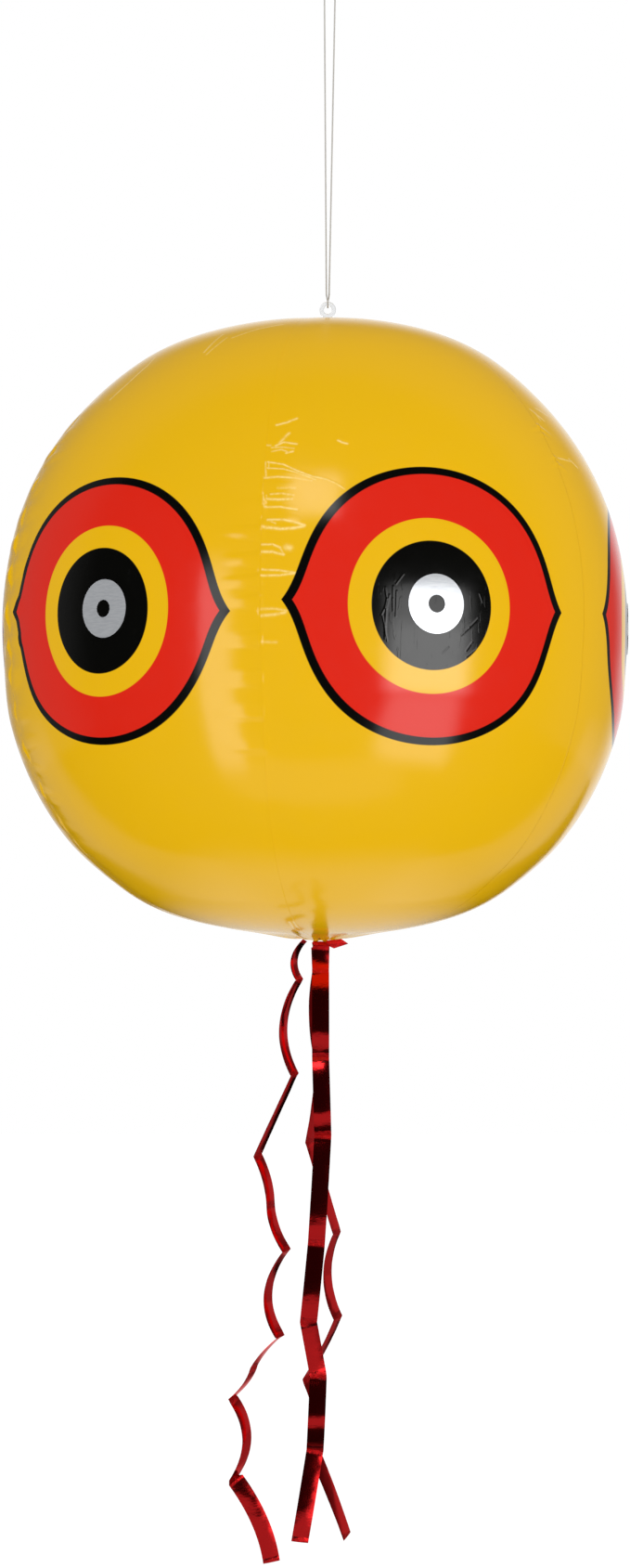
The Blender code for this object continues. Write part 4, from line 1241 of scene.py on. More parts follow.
def creaseSum(tree, group, spot, lines, height, narrowing=1.0):
    # the heights of all creases and the strongest line at each spot
    heights, strongest = [], 0.0
    for x0, y0, x1, y1, width, strength in lines:
        made = useGroup(
            tree, group, vector=spot, start=(x0 / 1000, y0 / 1000, 0), end=(x1 / 1000, y1 / 1000, 0),
            width=width * narrowing / 1000, height=height / 1000 * strength,
        )
        heights.append(made["Height"])
        strongest = maths(tree, "MAXIMUM", strongest, maths(tree, "MULTIPLY", made["Line"], strength))
    return total(tree, heights), strongest


def filmMaterial(name, settings, groups, creases, seamName=None, lines=None, printLines=None):
    material, tree, shader = newMaterial(name, Specular_IOR_Level=0.5)
    prints = node(tree, "ShaderNodeUVMap", uv_map="print").outputs[0]
    rings = node(tree, "ShaderNodeUVMap", uv_map="rings").outputs[0]
    eye = useGroup(
        tree, groups["eye"], vector=prints, rings=rings,
        film=settings["yellow"], red=settings["red"], ink=settings["ink"],
    )
    surface = useGroup(
        tree, groups["surface"], vector=prints, disc=eye["Disc"], roughness=settings["roughness"]
    )
    color = eye["Color"]
    heights = [surface["Height"]]
    if lines:
        seam = node(tree, "ShaderNodeUVMap", uv_map=seamName).outputs[0]
        height, line = creaseSum(
            tree, groups["crease"], seam, creases[lines], creases["height"], creases["narrowing"]
        )
        heights.append(height)
        # the strokes of painted highlight are uneven along their length
        broken = softStep(tree, noiseValue(tree, seam, 420.0, 2.0, 0.6), 0.36, 0.58, 0.5, 1.0)
        share = maths(tree, "MULTIPLY", maths(tree, "SUBTRACT", 1.0, eye["Printed"]), broken)
        share = maths(tree, "MULTIPLY", maths(tree, "MULTIPLY", line, share), creases["tintShare"])
        # painted highlight: away from the print, the base colour is lightened along the creases to stand in
        # for their glints
        color = mixColors(tree, share, color, creases["tint"])
    if printLines:
        onPrint = creaseSum(tree, groups["crease"], prints, creases[printLines], creases["printHeight"])
        heights.append(onPrint[0])
    tree.links.new(color, shader.inputs["Base Color"])
    tree.links.new(surface["Roughness"], shader.inputs["Roughness"])
    roughen(tree, shader, total(tree, heights))
    return material


def valveMatrix(ball, out):
    # Z out of the film, X round the ball, Y up it
    longitude, latitude = math.radians(ball["valveLongitude"]), math.radians(ball["valveLatitude"])
    step = math.radians(0.05)
    along = filmPoint(longitude + step, latitude, 0, ball) - filmPoint(longitude - step, latitude, 0, ball)
    up = filmPoint(longitude, latitude + step, 0, ball) - filmPoint(longitude, latitude - step, 0, ball)
    along.normalize()
    normal = along.cross(up).normalized()
    turn = Matrix((along, normal.cross(along), normal)).transposed()
    return Matrix.Translation(filmPoint(longitude, latitude, out, ball)) @ turn.to_4x4()


def cutFilmHole(mesh, settings):
    inverse = valveMatrix(settings, 0.0).inverted()
    radius = settings["filmHole"]
    shape = bmesh.new()
    shape.from_mesh(mesh)
    near = {}
    for vert in shape.verts:
        spot = inverse @ vert.co
        if abs(spot.z) < 0.02 and spot.xy.length < radius * 1.5:
            near[vert] = spot
    inside = [v for v, spot in near.items() if spot.xy.length < radius]
    bmesh.ops.delete(shape, geom=inside, context="VERTS")
    back = inverse.inverted()
    for vert in shape.verts:
        if vert.is_boundary and (inverse @ vert.co).length < radius * 1.5:
            spot = inverse @ vert.co
            scale = radius / spot.xy.length
            vert.co = back @ Vector((spot.x * scale, spot.y * scale, spot.z))
    shape.to_mesh(mesh)
    shape.free()


def makeGores(settings, seams, film, creases):
    groups = {"eye": eyeGroup(), "crease": creaseGroup(), "surface": surfaceGroup()}
    plain = filmMaterial("yellowFilm", film, groups, creases)
    creased = {
        0: filmMaterial("yellowFilmFront", film, groups, creases, "leftSeam", "rightOfSeam", "onPrint"),
        1: filmMaterial("yellowFilmRight", film, groups, creases, "leftSeam", "rightLimb"),
        5: filmMaterial("yellowFilmLeft", film, groups, creases, "rightSeam", "leftOfSeam"),
    }
    tree = goreTree()
    rows = seamRows(seams)
    for index in range(6):
        mesh = bpy.data.meshes.new(f"filmGore{index + 1}")
        obj = addObject(f"filmGore{index + 1}", mesh)
        modifier = obj.modifiers.new("film", "NODES")
        modifier.node_group = tree
        setInputs(modifier, {
            "Columns": settings["columns"],
            "Rows": settings["rows"],
            "Lap Columns": settings["lapColumns"],
            "Start Angle": math.radians(settings["firstSeam"] + 60 * index),
            "Radius": settings["radius"],
            "Half Height": settings["halfHeight"],
            "Swell": settings["swell"],
            "Swell Sag": settings["swellSag"],
            "Pole Radius": settings["poleRadius"],
            "Peak Height": settings["peakHeight"],
            "Peak Radius": settings["peakRadius"],
            "Top Lean": settings["topLean"],
            "Bottom Lean": settings["bottomLean"],
            "Lap Width": settings["lapWidth"],
            "Lap Depth": settings["lapDepth"],
            "Crowding": settings["crowding"],
            "Centre": settings["centre"],
            "Material": creased.get(index, plain),
        })
        obj.data = bakedMesh(obj)
        obj.data.name = obj.name
        longitude, latitude = wrinkledFilm(obj.data, settings, seams, rows)
        paintedCoordinates(obj.data, settings, index, longitude, latitude)
        if index == settings["valveGore"]:
            cutFilmHole(obj.data, settings)
        obj.data.update()
        obj.data.set_sharp_from_angle(angle=math.radians(40))
        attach(obj, "balloon")
        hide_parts(f"gore_{index + 1}")
        print("scene: gore", index + 1, len(obj.data.polygons))


makeGores(ballSettings, seamSettings, filmSettings, creaseSettings)
print("scene: ball made")


# Foil stickers in the middle of the eyes

stickerSettings = {
    "places": (19.4, 83.3, 139.0, 201.5, 260.5, 323.6),
    "outer": 0.0164,
    "inner": 0.0049,
    "thickness": 0.00016,
    "lift": 0.00042,
    "color": (0.75, 0.77, 0.80, 1),
    "metallic": 0.55,
    "roughness": 0.17,
    "streakColor": (0.68, 0.70, 0.73, 1),
    "grainHeight": 0.00003,
}


def stickerMaterial(settings):
    material, tree, shader = newMaterial(
        "silverFoil",
        Base_Color=settings["color"],
        Metallic=settings["metallic"],
        Roughness=settings["roughness"],
    )
    spot = node(tree, "ShaderNodeTexCoord").outputs["Object"]
    grain = noiseValue(tree, vectors(tree, "MULTIPLY", spot, (500, 500, 2200)), 1.0, 3.0, 0.6)
    streaks = noiseValue(tree, vectors(tree, "MULTIPLY", spot, (160, 160, 1300)), 1.0, 2.0, 0.6)
    color = mixColors(tree, softStep(tree, streaks, 0.42, 0.6), settings["color"], settings["streakColor"])
    tree.links.new(color, shader.inputs["Base Color"])
    roughen(tree, shader, grain, settings["grainHeight"], 0.6)
    return material


def stickerTree():
    tree, given, result = newTree(
        "foilStickers",
        "GeometryNodeTree",
        [
            ("Points", "NodeSocketGeometry", None),
            ("Outer Radius", "NodeSocketFloat", 0.0164),
            ("Inner Radius", "NodeSocketFloat", 0.0049),
            ("Thickness", "NodeSocketFloat", 0.00015),
            ("Lift", "NodeSocketFloat", 0.0003),
            ("Ball Radius", "NodeSocketFloat", 0.2),
            ("Ball Half Height", "NodeSocketFloat", 0.2),
            ("Swell", "NodeSocketFloat", 0.0),
            ("Swell Sag", "NodeSocketFloat", 0.0),
            ("Centre", "NodeSocketVector", None),
            ("Material", "NodeSocketMaterial", None),
        ],
        [("Stickers", "NodeSocketGeometry")],
    )
    circle = node(tree, "GeometryNodeCurvePrimitiveCircle", mode="RADIUS")
    circle.inputs["Resolution"].default_value = 96
    middle = maths(tree, "MULTIPLY", maths(tree, "ADD", given["Outer Radius"], given["Inner Radius"]), 0.5)
    tree.links.new(middle, circle.inputs["Radius"])
    section = node(tree, "GeometryNodeCurvePrimitiveQuadrilateral", mode="RECTANGLE")
    width = maths(tree, "SUBTRACT", given["Outer Radius"], given["Inner Radius"])
    tree.links.new(width, section.inputs["Width"])
    tree.links.new(given["Thickness"], section.inputs["Height"])
    edge = node(tree, "GeometryNodeSubdivideCurve")
    edge.inputs["Cuts"].default_value = 7
    tree.links.new(section.outputs[0], edge.inputs[0])
    sweep = node(tree, "GeometryNodeCurveToMesh")
    tree.links.new(circle.outputs[0], sweep.inputs["Curve"])
    tree.links.new(edge.outputs[0], sweep.inputs["Profile Curve"])
    spot = node(tree, "GeometryNodeInputPosition").outputs[0]
    rise = node(tree, "GeometryNodeStoreNamedAttribute", data_type="FLOAT", domain="POINT")
    rise.inputs["Name"].default_value = "rise"
    tree.links.new(sweep.outputs[0], rise.inputs["Geometry"])
    tree.links.new(splitVector(tree, spot)[2], rise.inputs["Value"])
    outward = vectors(tree, "SUBTRACT", spot, given["Centre"])
    turn = node(tree, "FunctionNodeAlignRotationToVector", axis="Z")
    tree.links.new(outward, turn.inputs["Vector"])
    placed = node(tree, "GeometryNodeInstanceOnPoints")
    tree.links.new(given["Points"], placed.inputs["Points"])
    tree.links.new(rise.outputs[0], placed.inputs["Instance"])
    tree.links.new(turn.outputs[0], placed.inputs["Rotation"])
    real = node(tree, "GeometryNodeRealizeInstances")
    tree.links.new(placed.outputs[0], real.inputs[0])
    # each sticker is pressed on to the round film
    way = vectors(tree, "NORMALIZE", outward)
    squeezed = vectors(tree, "DIVIDE", way, joinVector(
        tree, given["Ball Radius"], given["Ball Radius"], given["Ball Half Height"]
    ))
    sine = splitVector(tree, vectors(tree, "NORMALIZE", squeezed))[2]
    reach = maths(tree, "DIVIDE", swellNodes(tree, sine, given), vectors(tree, "LENGTH", squeezed))
    height = node(tree, "GeometryNodeInputNamedAttribute", data_type="FLOAT")
    height.inputs["Name"].default_value = "rise"
    reach = total(tree, [reach, height.outputs["Attribute"], given["Lift"]])
    pressed = node(tree, "GeometryNodeSetPosition")
    tree.links.new(real.outputs[0], pressed.inputs["Geometry"])
    place = vectors(tree, "ADD", vectors(tree, "SCALE", way, reach), given["Centre"])
    tree.links.new(place, pressed.inputs["Position"])
    finishTree(tree, pressed.outputs[0], given["Material"], result[0])
    return tree


def makeStickers(settings, ball):
    mesh = bpy.data.meshes.new("foilStickers")
    centre = Vector(ball["centre"])
    points = [
        centre + ball["radius"] * Vector((math.sin(turn), -math.cos(turn), 0))
        for turn in (math.radians(place) for place in settings["places"])
    ]
    mesh.from_pydata([tuple(p) for p in points], [], [])
    obj = addObject("foilStickers", mesh)
    modifier = obj.modifiers.new("stickers", "NODES")
    modifier.node_group = stickerTree()
    setInputs(modifier, {
        "Outer Radius": settings["outer"],
        "Inner Radius": settings["inner"],
        "Thickness": settings["thickness"],
        "Lift": settings["lift"],
        "Ball Radius": ball["radius"],
        "Ball Half Height": ball["halfHeight"],
        "Swell": ball["swell"],
        "Swell Sag": ball["swellSag"],
        "Centre": ball["centre"],
        "Material": stickerMaterial(settings),
    })
    obj.data = bakedMesh(obj)
    obj.data.set_sharp_from_angle(angle=math.radians(40))
    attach(obj, "balloon")
    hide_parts(*[f"foil_ring_{k}" for k in range(1, 7)])


makeStickers(stickerSettings, ballSettings)
print("scene: stickers made")


# Eyelets, moulded in one with a round foot

eyeletSettings = {
    "outer": 0.0053,
    "hole": 0.00265,
    "thickness": 0.0020,
    "footRadius": 0.012,
    "footThickness": 0.0006,
    "neckWidth": 0.0056,
    "neckThickness": 0.0018,
    "bevel": 0.0007,
    "footLift": 0.0002,
    "footShares": (0.001, 0.25, 0.5, 0.75, 1),
    "voxel": 0.00022,
    "top": {"hole": (-0.00135, 0, -0.228), "poleX": -0.00135, "side": 1},
    "bottom": {"hole": (-0.00615, 0, -0.6392), "poleX": -0.00615, "side": -1},
}


def vinylMaterial(name, color, transmission):
    material, tree, shader = newMaterial(
        name, Base_Color=color, Roughness=0.12, Transmission_Weight=transmission, IOR=1.45
    )
    spot = node(tree, "ShaderNodeTexCoord").outputs["Object"]
    roughen(tree, shader, noiseValue(tree, spot, 420.0, 2.0, 0.5), 0.00012)
    return material


def remeshed(name, shapes, material, voxel, smoothing=6):
    points, faces = [], []
    for shapePoints, shapeFaces in shapes:
        faces += [tuple(v + len(points) for v in face) for face in shapeFaces]
        points += shapePoints
    obj = meshObject(name, points, faces, material)
    modifier = obj.modifiers.new("join", "REMESH")
    modifier.mode = "VOXEL"
    modifier.voxel_size = voxel
    modifier.use_smooth_shade = True
    smooth = obj.modifiers.new("smooth", "SMOOTH")
    smooth.factor = 0.5
    smooth.iterations = smoothing
    obj.data = bakedMesh(obj)
    obj.data.materials.clear()
    obj.data.materials.append(material)
    return obj


def boxShape(low, high):
    points = [
        Vector((x, y, z)) for x in (low[0], high[0]) for y in (low[1], high[1]) for z in (low[2], high[2])
    ]
    faces = [(0, 1, 3, 2), (4, 6, 7, 5), (0, 4, 5, 1), (2, 3, 7, 6), (0, 2, 6, 4), (1, 5, 7, 3)]
    return points, faces


def filmHeight(radius, side, ball):
    peak = ball["peakHeight"] * math.exp(-((radius / ball["peakRadius"]) ** 2))
    latitude = side * math.acos(radius / ball["radius"])
    return ball["halfHeight"] * abs(math.sin(latitude)) * swellAt(latitude, ball) + peak


def makeEyelet(name, place, nodeName, material, settings, ball):
    hole, side = Vector(place["hole"]), place["side"]
    across = Matrix.Translation(hole) @ Matrix.Rotation(math.pi / 2, 4, "X")
    half = settings["thickness"] / 2
    ring = roundedOutline([
        (settings["hole"], -half), (settings["outer"], -half),
        (settings["outer"], half), (settings["hole"], half),
    ], settings["bevel"])
    pole = Vector((place["poleX"], 0, ball["centre"][2]))
    radii = [settings["footRadius"] * share for share in settings["footShares"]]
    low = [(r, side * (filmHeight(r, side, ball) + settings["footLift"])) for r in radii]
    high = [(r, z + side * settings["footThickness"]) for r, z in low]
    foot = latheShape(low + high[::-1] if side > 0 else high + low[::-1], Matrix.Translation(pole))
    footZ = pole.z + side * filmHeight(0, side, ball)
    ringZ = hole.z - side * (settings["hole"] + settings["outer"]) / 2
    neck = settings["neckWidth"] / 2, settings["neckThickness"] / 2
    shapes = [latheShape(ring, across), foot]
    if abs(footZ - hole.z) > settings["outer"]:
        shapes.append(boxShape(
            (hole.x - neck[0], -neck[1], min(footZ, ringZ)), (hole.x + neck[0], neck[1], max(footZ, ringZ))
        ))
    eyelet = remeshed(name, shapes, material, settings["voxel"])
    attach(eyelet, "balloon")
    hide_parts(nodeName)
    return eyelet


clearVinyl = vinylMaterial("clearVinyl", (0.93, 0.94, 0.95, 1), 0.92)
yellowVinyl = vinylMaterial("yellowVinyl", (0.80, 0.452, 0.002, 1), 0.0)
makeEyelet(
    "topEyelet", eyeletSettings["top"], "top_eyelet", clearVinyl, eyeletSettings, ballSettings
)
makeEyelet(
    "bottomEyelet", eyeletSettings["bottom"], "bottom_eyelet", yellowVinyl,
    eyeletSettings, ballSettings,
)
print("scene: eyelets made")


# Valve: welded flange, rolled membrane, stem with its lip, plug on its strap, and the flap inside

valveSettings = {
    "lift": 0.0003,
    "flangeBore": 0.0115,
    "flangeRadius": 0.020,
    "flangeThickness": 0.0008,
    "weldRadii": (0.0150, 0.0172),
    "membraneRadius": 0.0112,
    "membraneWall": 0.0006,
    "membraneDepth": 0.009,
    "stemRadius": 0.0065,
    "stemBore": 0.0040,
    "stemLength": 0.024,
    "lipRadius": 0.0082,
    "lipThickness": 0.0012,
    "gap": 0.0003,
    "plugLength": 0.010,
    "plugHeadRadius": 0.0075,
    "plugHeadThickness": 0.0018,
    "strapWidth": 0.0035,
    "strapThickness": 0.0008,
    "strapReach": 0.0120,
    "flapRadius": 0.0054,
    "flapThickness": 0.0005,
    "flapGap": 0.0004,
    "membraneBevel": 0.0009,
    "stemBevel": 0.00035,
    "strapBevel": 0.0003,
    "strapSteps": 40,
    "strapClear": 0.0001,
    "flangeTurns": 96,
}


def valvePiece(name, nodeName, body, shape, material):
    obj = meshObject(name, *shape, material)
    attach(obj, body)
    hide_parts(nodeName)
    return obj


def flangeShape(settings, ball):
    # a ring that follows the film, with two raised weld rings
    bore, edge, thick = settings["flangeBore"], settings["flangeRadius"], settings["flangeThickness"]
    weldIn, weldOut = settings["weldRadii"]
    section = [(bore + 0.0002, 0.0), (edge - 0.0003, 0.0), (edge, 0.0002), (edge, thick * 0.5),
               (edge - 0.0004, thick * 0.72)]
    section += [(r, thick * 0.72) for r in (weldOut + 0.0009, weldOut + 0.0005)]
    section += [(r, thick) for r in (weldOut, weldOut - 0.0003)]
    section += [(r, thick * 0.72) for r in (weldOut - 0.0008, weldIn + 0.0008)]
    section += [(r, thick) for r in (weldIn + 0.0003, weldIn)]
    section += [(r, thick * 0.72) for r in (weldIn - 0.0005, bore + 0.0012)]
    section += [(bore + 0.0007, thick), (bore + 0.0002, thick * 0.95), (bore, thick * 0.7), (bore, 0.0002)]
    longitude, latitude = math.radians(ball["valveLongitude"]), math.radians(ball["valveLatitude"])
    step = math.radians(0.05)
    rise = filmPoint(longitude, latitude + step, 0, ball) - filmPoint(longitude, latitude - step, 0, ball)
    turns, points = settings["flangeTurns"], []
    for k in range(turns):
        turn = 2 * math.pi * k / turns
        for radius, lift in section:
            up = radius * math.sin(turn) * 2 * step / rise.length
            across = ball["radius"] * math.cos(latitude + up) * swellAt(latitude + up, ball)
            side = radius * math.cos(turn) / across
            points.append(filmPoint(longitude + side, latitude + up, settings["lift"] + lift, ball))
    count = len(section)
    faces = [
        (k * count + j, (k + 1) % turns * count + j, (k + 1) % turns * count + (j + 1) % count,
         k * count + (j + 1) % count)
        for k in range(turns) for j in range(count)
    ]
    return points, faces


def closedLathe(outline, matrix, turns=64):
    # turned from axis to axis: the first and last points lie on the axis
    points = [matrix @ Vector((0, 0, outline[0][1])), matrix @ Vector((0, 0, outline[-1][1]))]
    inner = outline[1:-1]
    for k in range(turns):
        turn = 2 * math.pi * k / turns
        points += [matrix @ Vector((r * math.cos(turn), r * math.sin(turn), z)) for r, z in inner]
    count, faces = len(inner), []
    for k in range(turns):
        here, after = 2 + k * count, 2 + (k + 1) % turns * count
        faces.append((0, after, here))
        faces.append((1, here + count - 1, after + count - 1))
        faces += [(here + j, after + j, after + j + 1, here + j + 1) for j in range(count - 1)]
    return points, faces


def strapShape(settings, matrix, head):
    clear = settings["strapClear"]
    start = Vector((settings["lipRadius"] + clear, 0, settings["lipThickness"] / 2))
    end = Vector((settings["plugHeadRadius"] + clear, 0, head + settings["plugHeadThickness"] / 2))
    reach = Vector((settings["strapReach"], 0, 0))
    wide, thick = settings["strapWidth"] / 2, settings["strapThickness"] / 2
    section = roundedOutline(
        [(-wide, -thick), (wide, -thick), (wide, thick), (-wide, thick)], settings["strapBevel"], 2
    )
    steps, points = settings["strapSteps"], []
    for k in range(steps + 1):
        t = k / steps
        place = (
            start * (1 - t) ** 3 + 3 * (start + reach) * t * (1 - t) ** 2
            + 3 * (end + reach) * t**2 * (1 - t) + end * t**3
        )
        lift = Vector((math.sin(math.pi * t), 0, -math.cos(math.pi * t)))
        points += [matrix @ (place + Vector((0, y, 0)) + lift * z) for y, z in section]
    count = len(section)
    faces = [
        (k * count + j, k * count + (j + 1) % count, (k + 1) * count + (j + 1) % count, (k + 1) * count + j)
        for k in range(steps) for j in range(count)
    ]
    faces += [tuple(range(count))[::-1], tuple(range(steps * count, (steps + 1) * count))]
    return points, faces, matrix @ start, matrix @ end


def makeValve(settings, ball, material):
    matrix = valveMatrix(ball, settings["lift"] + settings["flangeThickness"])
    valvePiece("valveFlange", "valve_flange", "balloon", flangeShape(settings, ball), material)

    outer, wall, depth = settings["membraneRadius"], settings["membraneWall"], settings["membraneDepth"]
    inner = settings["stemRadius"] + settings["gap"]
    trough = [
        (outer, 0), (outer - wall, 0), (outer - wall, wall - depth), (inner + wall, wall - depth),
        (inner + wall, -wall), (inner, -wall), (inner, -depth), (outer, -depth),
    ]
    shape = latheShape(roundedOutline(trough, settings["membraneBevel"], 4), matrix, 96)
    valvePiece("valveMembrane", "valve_membrane", "balloon", shape, material)

    lip, lipHigh = settings["lipRadius"], settings["lipThickness"]
    stem, bore, length = settings["stemRadius"], settings["stemBore"], settings["stemLength"]
    tube = [
        (bore, -length), (stem, -length), (stem, 0), (lip, 0), (lip, lipHigh), (bore, lipHigh),
    ]
    shape = latheShape(roundedOutline(tube, settings["stemBevel"]), matrix, 96)
    valvePiece("valveStem", "valve_stem", "valve_stem", shape, material)

    head = lipHigh + settings["gap"]
    top = head + settings["plugHeadThickness"]
    wide, thin = settings["plugHeadRadius"], bore - settings["gap"]
    plug = [
        (0, head - settings["plugLength"]), (thin - 0.0009, head - settings["plugLength"]),
        (thin - 0.0004, head - settings["plugLength"] + 0.0004),
        (thin, head - settings["plugLength"] + 0.0016),
        (thin, head - 0.0002), (thin + 0.0002, head), (wide - 0.0003, head), (wide, head + 0.0003),
        (wide, top - 0.0005), (wide - 0.0005, top), (wide - 0.0012, top), (wide - 0.0016, top - 0.0004),
        (0.0016, top - 0.0004), (0.0011, top - 0.0001), (0, top),
    ]
    valvePiece("valvePlug", "valve_plug", "valve_plug", closedLathe(plug, matrix, 72), material)

    points, faces, start, end = strapShape(settings, matrix, head)
    strap = meshObject("valveStrap", points, faces, material)
    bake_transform(strap)
    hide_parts("valve_strap")

    upper = -length - settings["flapGap"]
    lower = upper - settings["flapThickness"]
    reach = settings["flapRadius"]
    disc = [
        (0, lower), (reach - 0.0002, lower), (reach, lower + 0.00015), (reach, upper - 0.00015),
        (reach - 0.0002, upper), (0, upper),
    ]
    valvePiece("valveFlap", "valve_flap", "valve_flap", closedLathe(disc, matrix, 48), material)


makeValve(valveSettings, ballSettings, clearVinyl)
print("scene: valve made")


# Streamers: three strips of metallised film with sharp folds. Each row: share of the drop, share of
# the reach to the side and in depth, bow of the panel above, and the strip's turn in degrees.

streamerSettings = {
    "top": (-0.00965, 0.0, -0.6392),
    "drop": 0.4040,
    "reach": 0.060,
    "width": 0.0110,
    "thickness": 0.00016,
    "curl": 10.0,
    "columns": 9,
    "ripple": 0.00010,
    "step": 0.0016,
    "fewestSteps": 6,
    "strips": {
        "streamer_left": ("streamerLeft", (1, 0, 0), [
            (-0.006, -0.105, 0.033, 0.000, 66, 66), (0.057, -0.163, 0.033, -0.088, 66, 62),
            (0.209, -0.216, 0.025, -0.150, 62, 66), (0.338, -0.617, 0.000, 0.000, 62, 62),
            (0.417, -0.477, 0.017, 0.030, 62, 62), (0.492, -0.303, 0.025, -0.040, 62, 62),
            (0.631, -0.372, 0.040, -0.167, 60, 64), (0.680, -0.658, 0.030, -0.030, 64, 64),
            (0.728, -0.889, 0.020, 0.035, 62, 62), (0.856, -0.873, 0.000, 0.147, 58, 9),
            (0.993, -0.470, 0.025, 0.068, 8, 8),
        ]),
        "streamer_front": ("streamerFront", (0, 1, 0), [
            (0.001, 0.065, -0.145, 0.000, 0, 4), (0.039, 0.059, -0.185, 0.018, 8, 0),
            (0.177, 0.060, -0.200, -0.117, 0, 2), (0.300, 0.084, -0.233, -0.108, 2, 0),
            (0.467, 0.015, -0.333, -0.100, 4, 0), (0.591, -0.069, -0.350, -0.050, 0, 13),
            (0.680, 0.035, -0.250, 0.008, 13, 0), (0.798, 0.000, -0.250, -0.117, 0, 8),
            (0.937, -0.162, -0.367, -0.033, 8, 8),
        ]),
        "streamer_rear": ("streamerRear", (1, 0, 0), [
            (0.005, 0.022, 0.160, 0.000, 50, 50), (0.045, 0.030, 0.183, 0.000, 52, 52),
            (0.191, 0.056, 0.233, -0.050, 52, 55), (0.323, -0.056, 0.267, 0.020, 58, 60),
            (0.474, 0.244, 0.300, 0.000, 62, 60), (0.611, 0.256, 0.283, -0.110, 58, 60),
            (0.709, -0.087, 0.300, 0.020, 60, 55), (0.840, 0.025, 0.283, 0.075, 55, 50),
            (0.968, 0.356, 0.300, 0.010, 62, 62),
        ]),
    },
    "color": (0.80, 0.016, 0.018, 1),
    "roughness": 0.13,
    # within so many metres of a fold the foil is crumpled and duller
    "crumpleReach": 0.004,
    "crumpleRoughness": 0.5,
}


def redFoil(settings):
    material, tree, shader = newMaterial(
        "redFoil",
        Base_Color=settings["color"],
        Metallic=1.0,
        Roughness=settings["roughness"],
        Specular_Tint=(1.0, 0.55, 0.55, 1),
        Coat_Weight=0.12,
        Coat_Roughness=0.1,
    )
    spot = node(tree, "ShaderNodeTexCoord").outputs["Object"]
    fold = node(tree, "ShaderNodeAttribute", attribute_name="fold").outputs["Fac"]
    crumpled = softStep(tree, fold, 0.0, settings["crumpleReach"], 1.0, 0.0)
    rough = softStep(tree, crumpled, 0.0, 1.0, settings["roughness"], settings["crumpleRoughness"])
    tree.links.new(rough, shader.inputs["Roughness"])
    wide = noiseValue(tree, spot, 55.0, 2.0, 0.5)
    fine = noiseValue(tree, vectors(tree, "MULTIPLY", spot, (300, 300, 700)), 1.0, 2.0, 0.5)
    crinkles = maths(tree, "MULTIPLY", noiseValue(tree, spot, 420.0, 2.0, 0.5), crumpled)
    height = total(tree, [
        maths(tree, "MULTIPLY", wide, 0.0004),
        maths(tree, "MULTIPLY", fine, 0.00004),
        maths(tree, "MULTIPLY", crinkles, 0.0006),
    ])
    roughen(tree, shader, height)
    return material


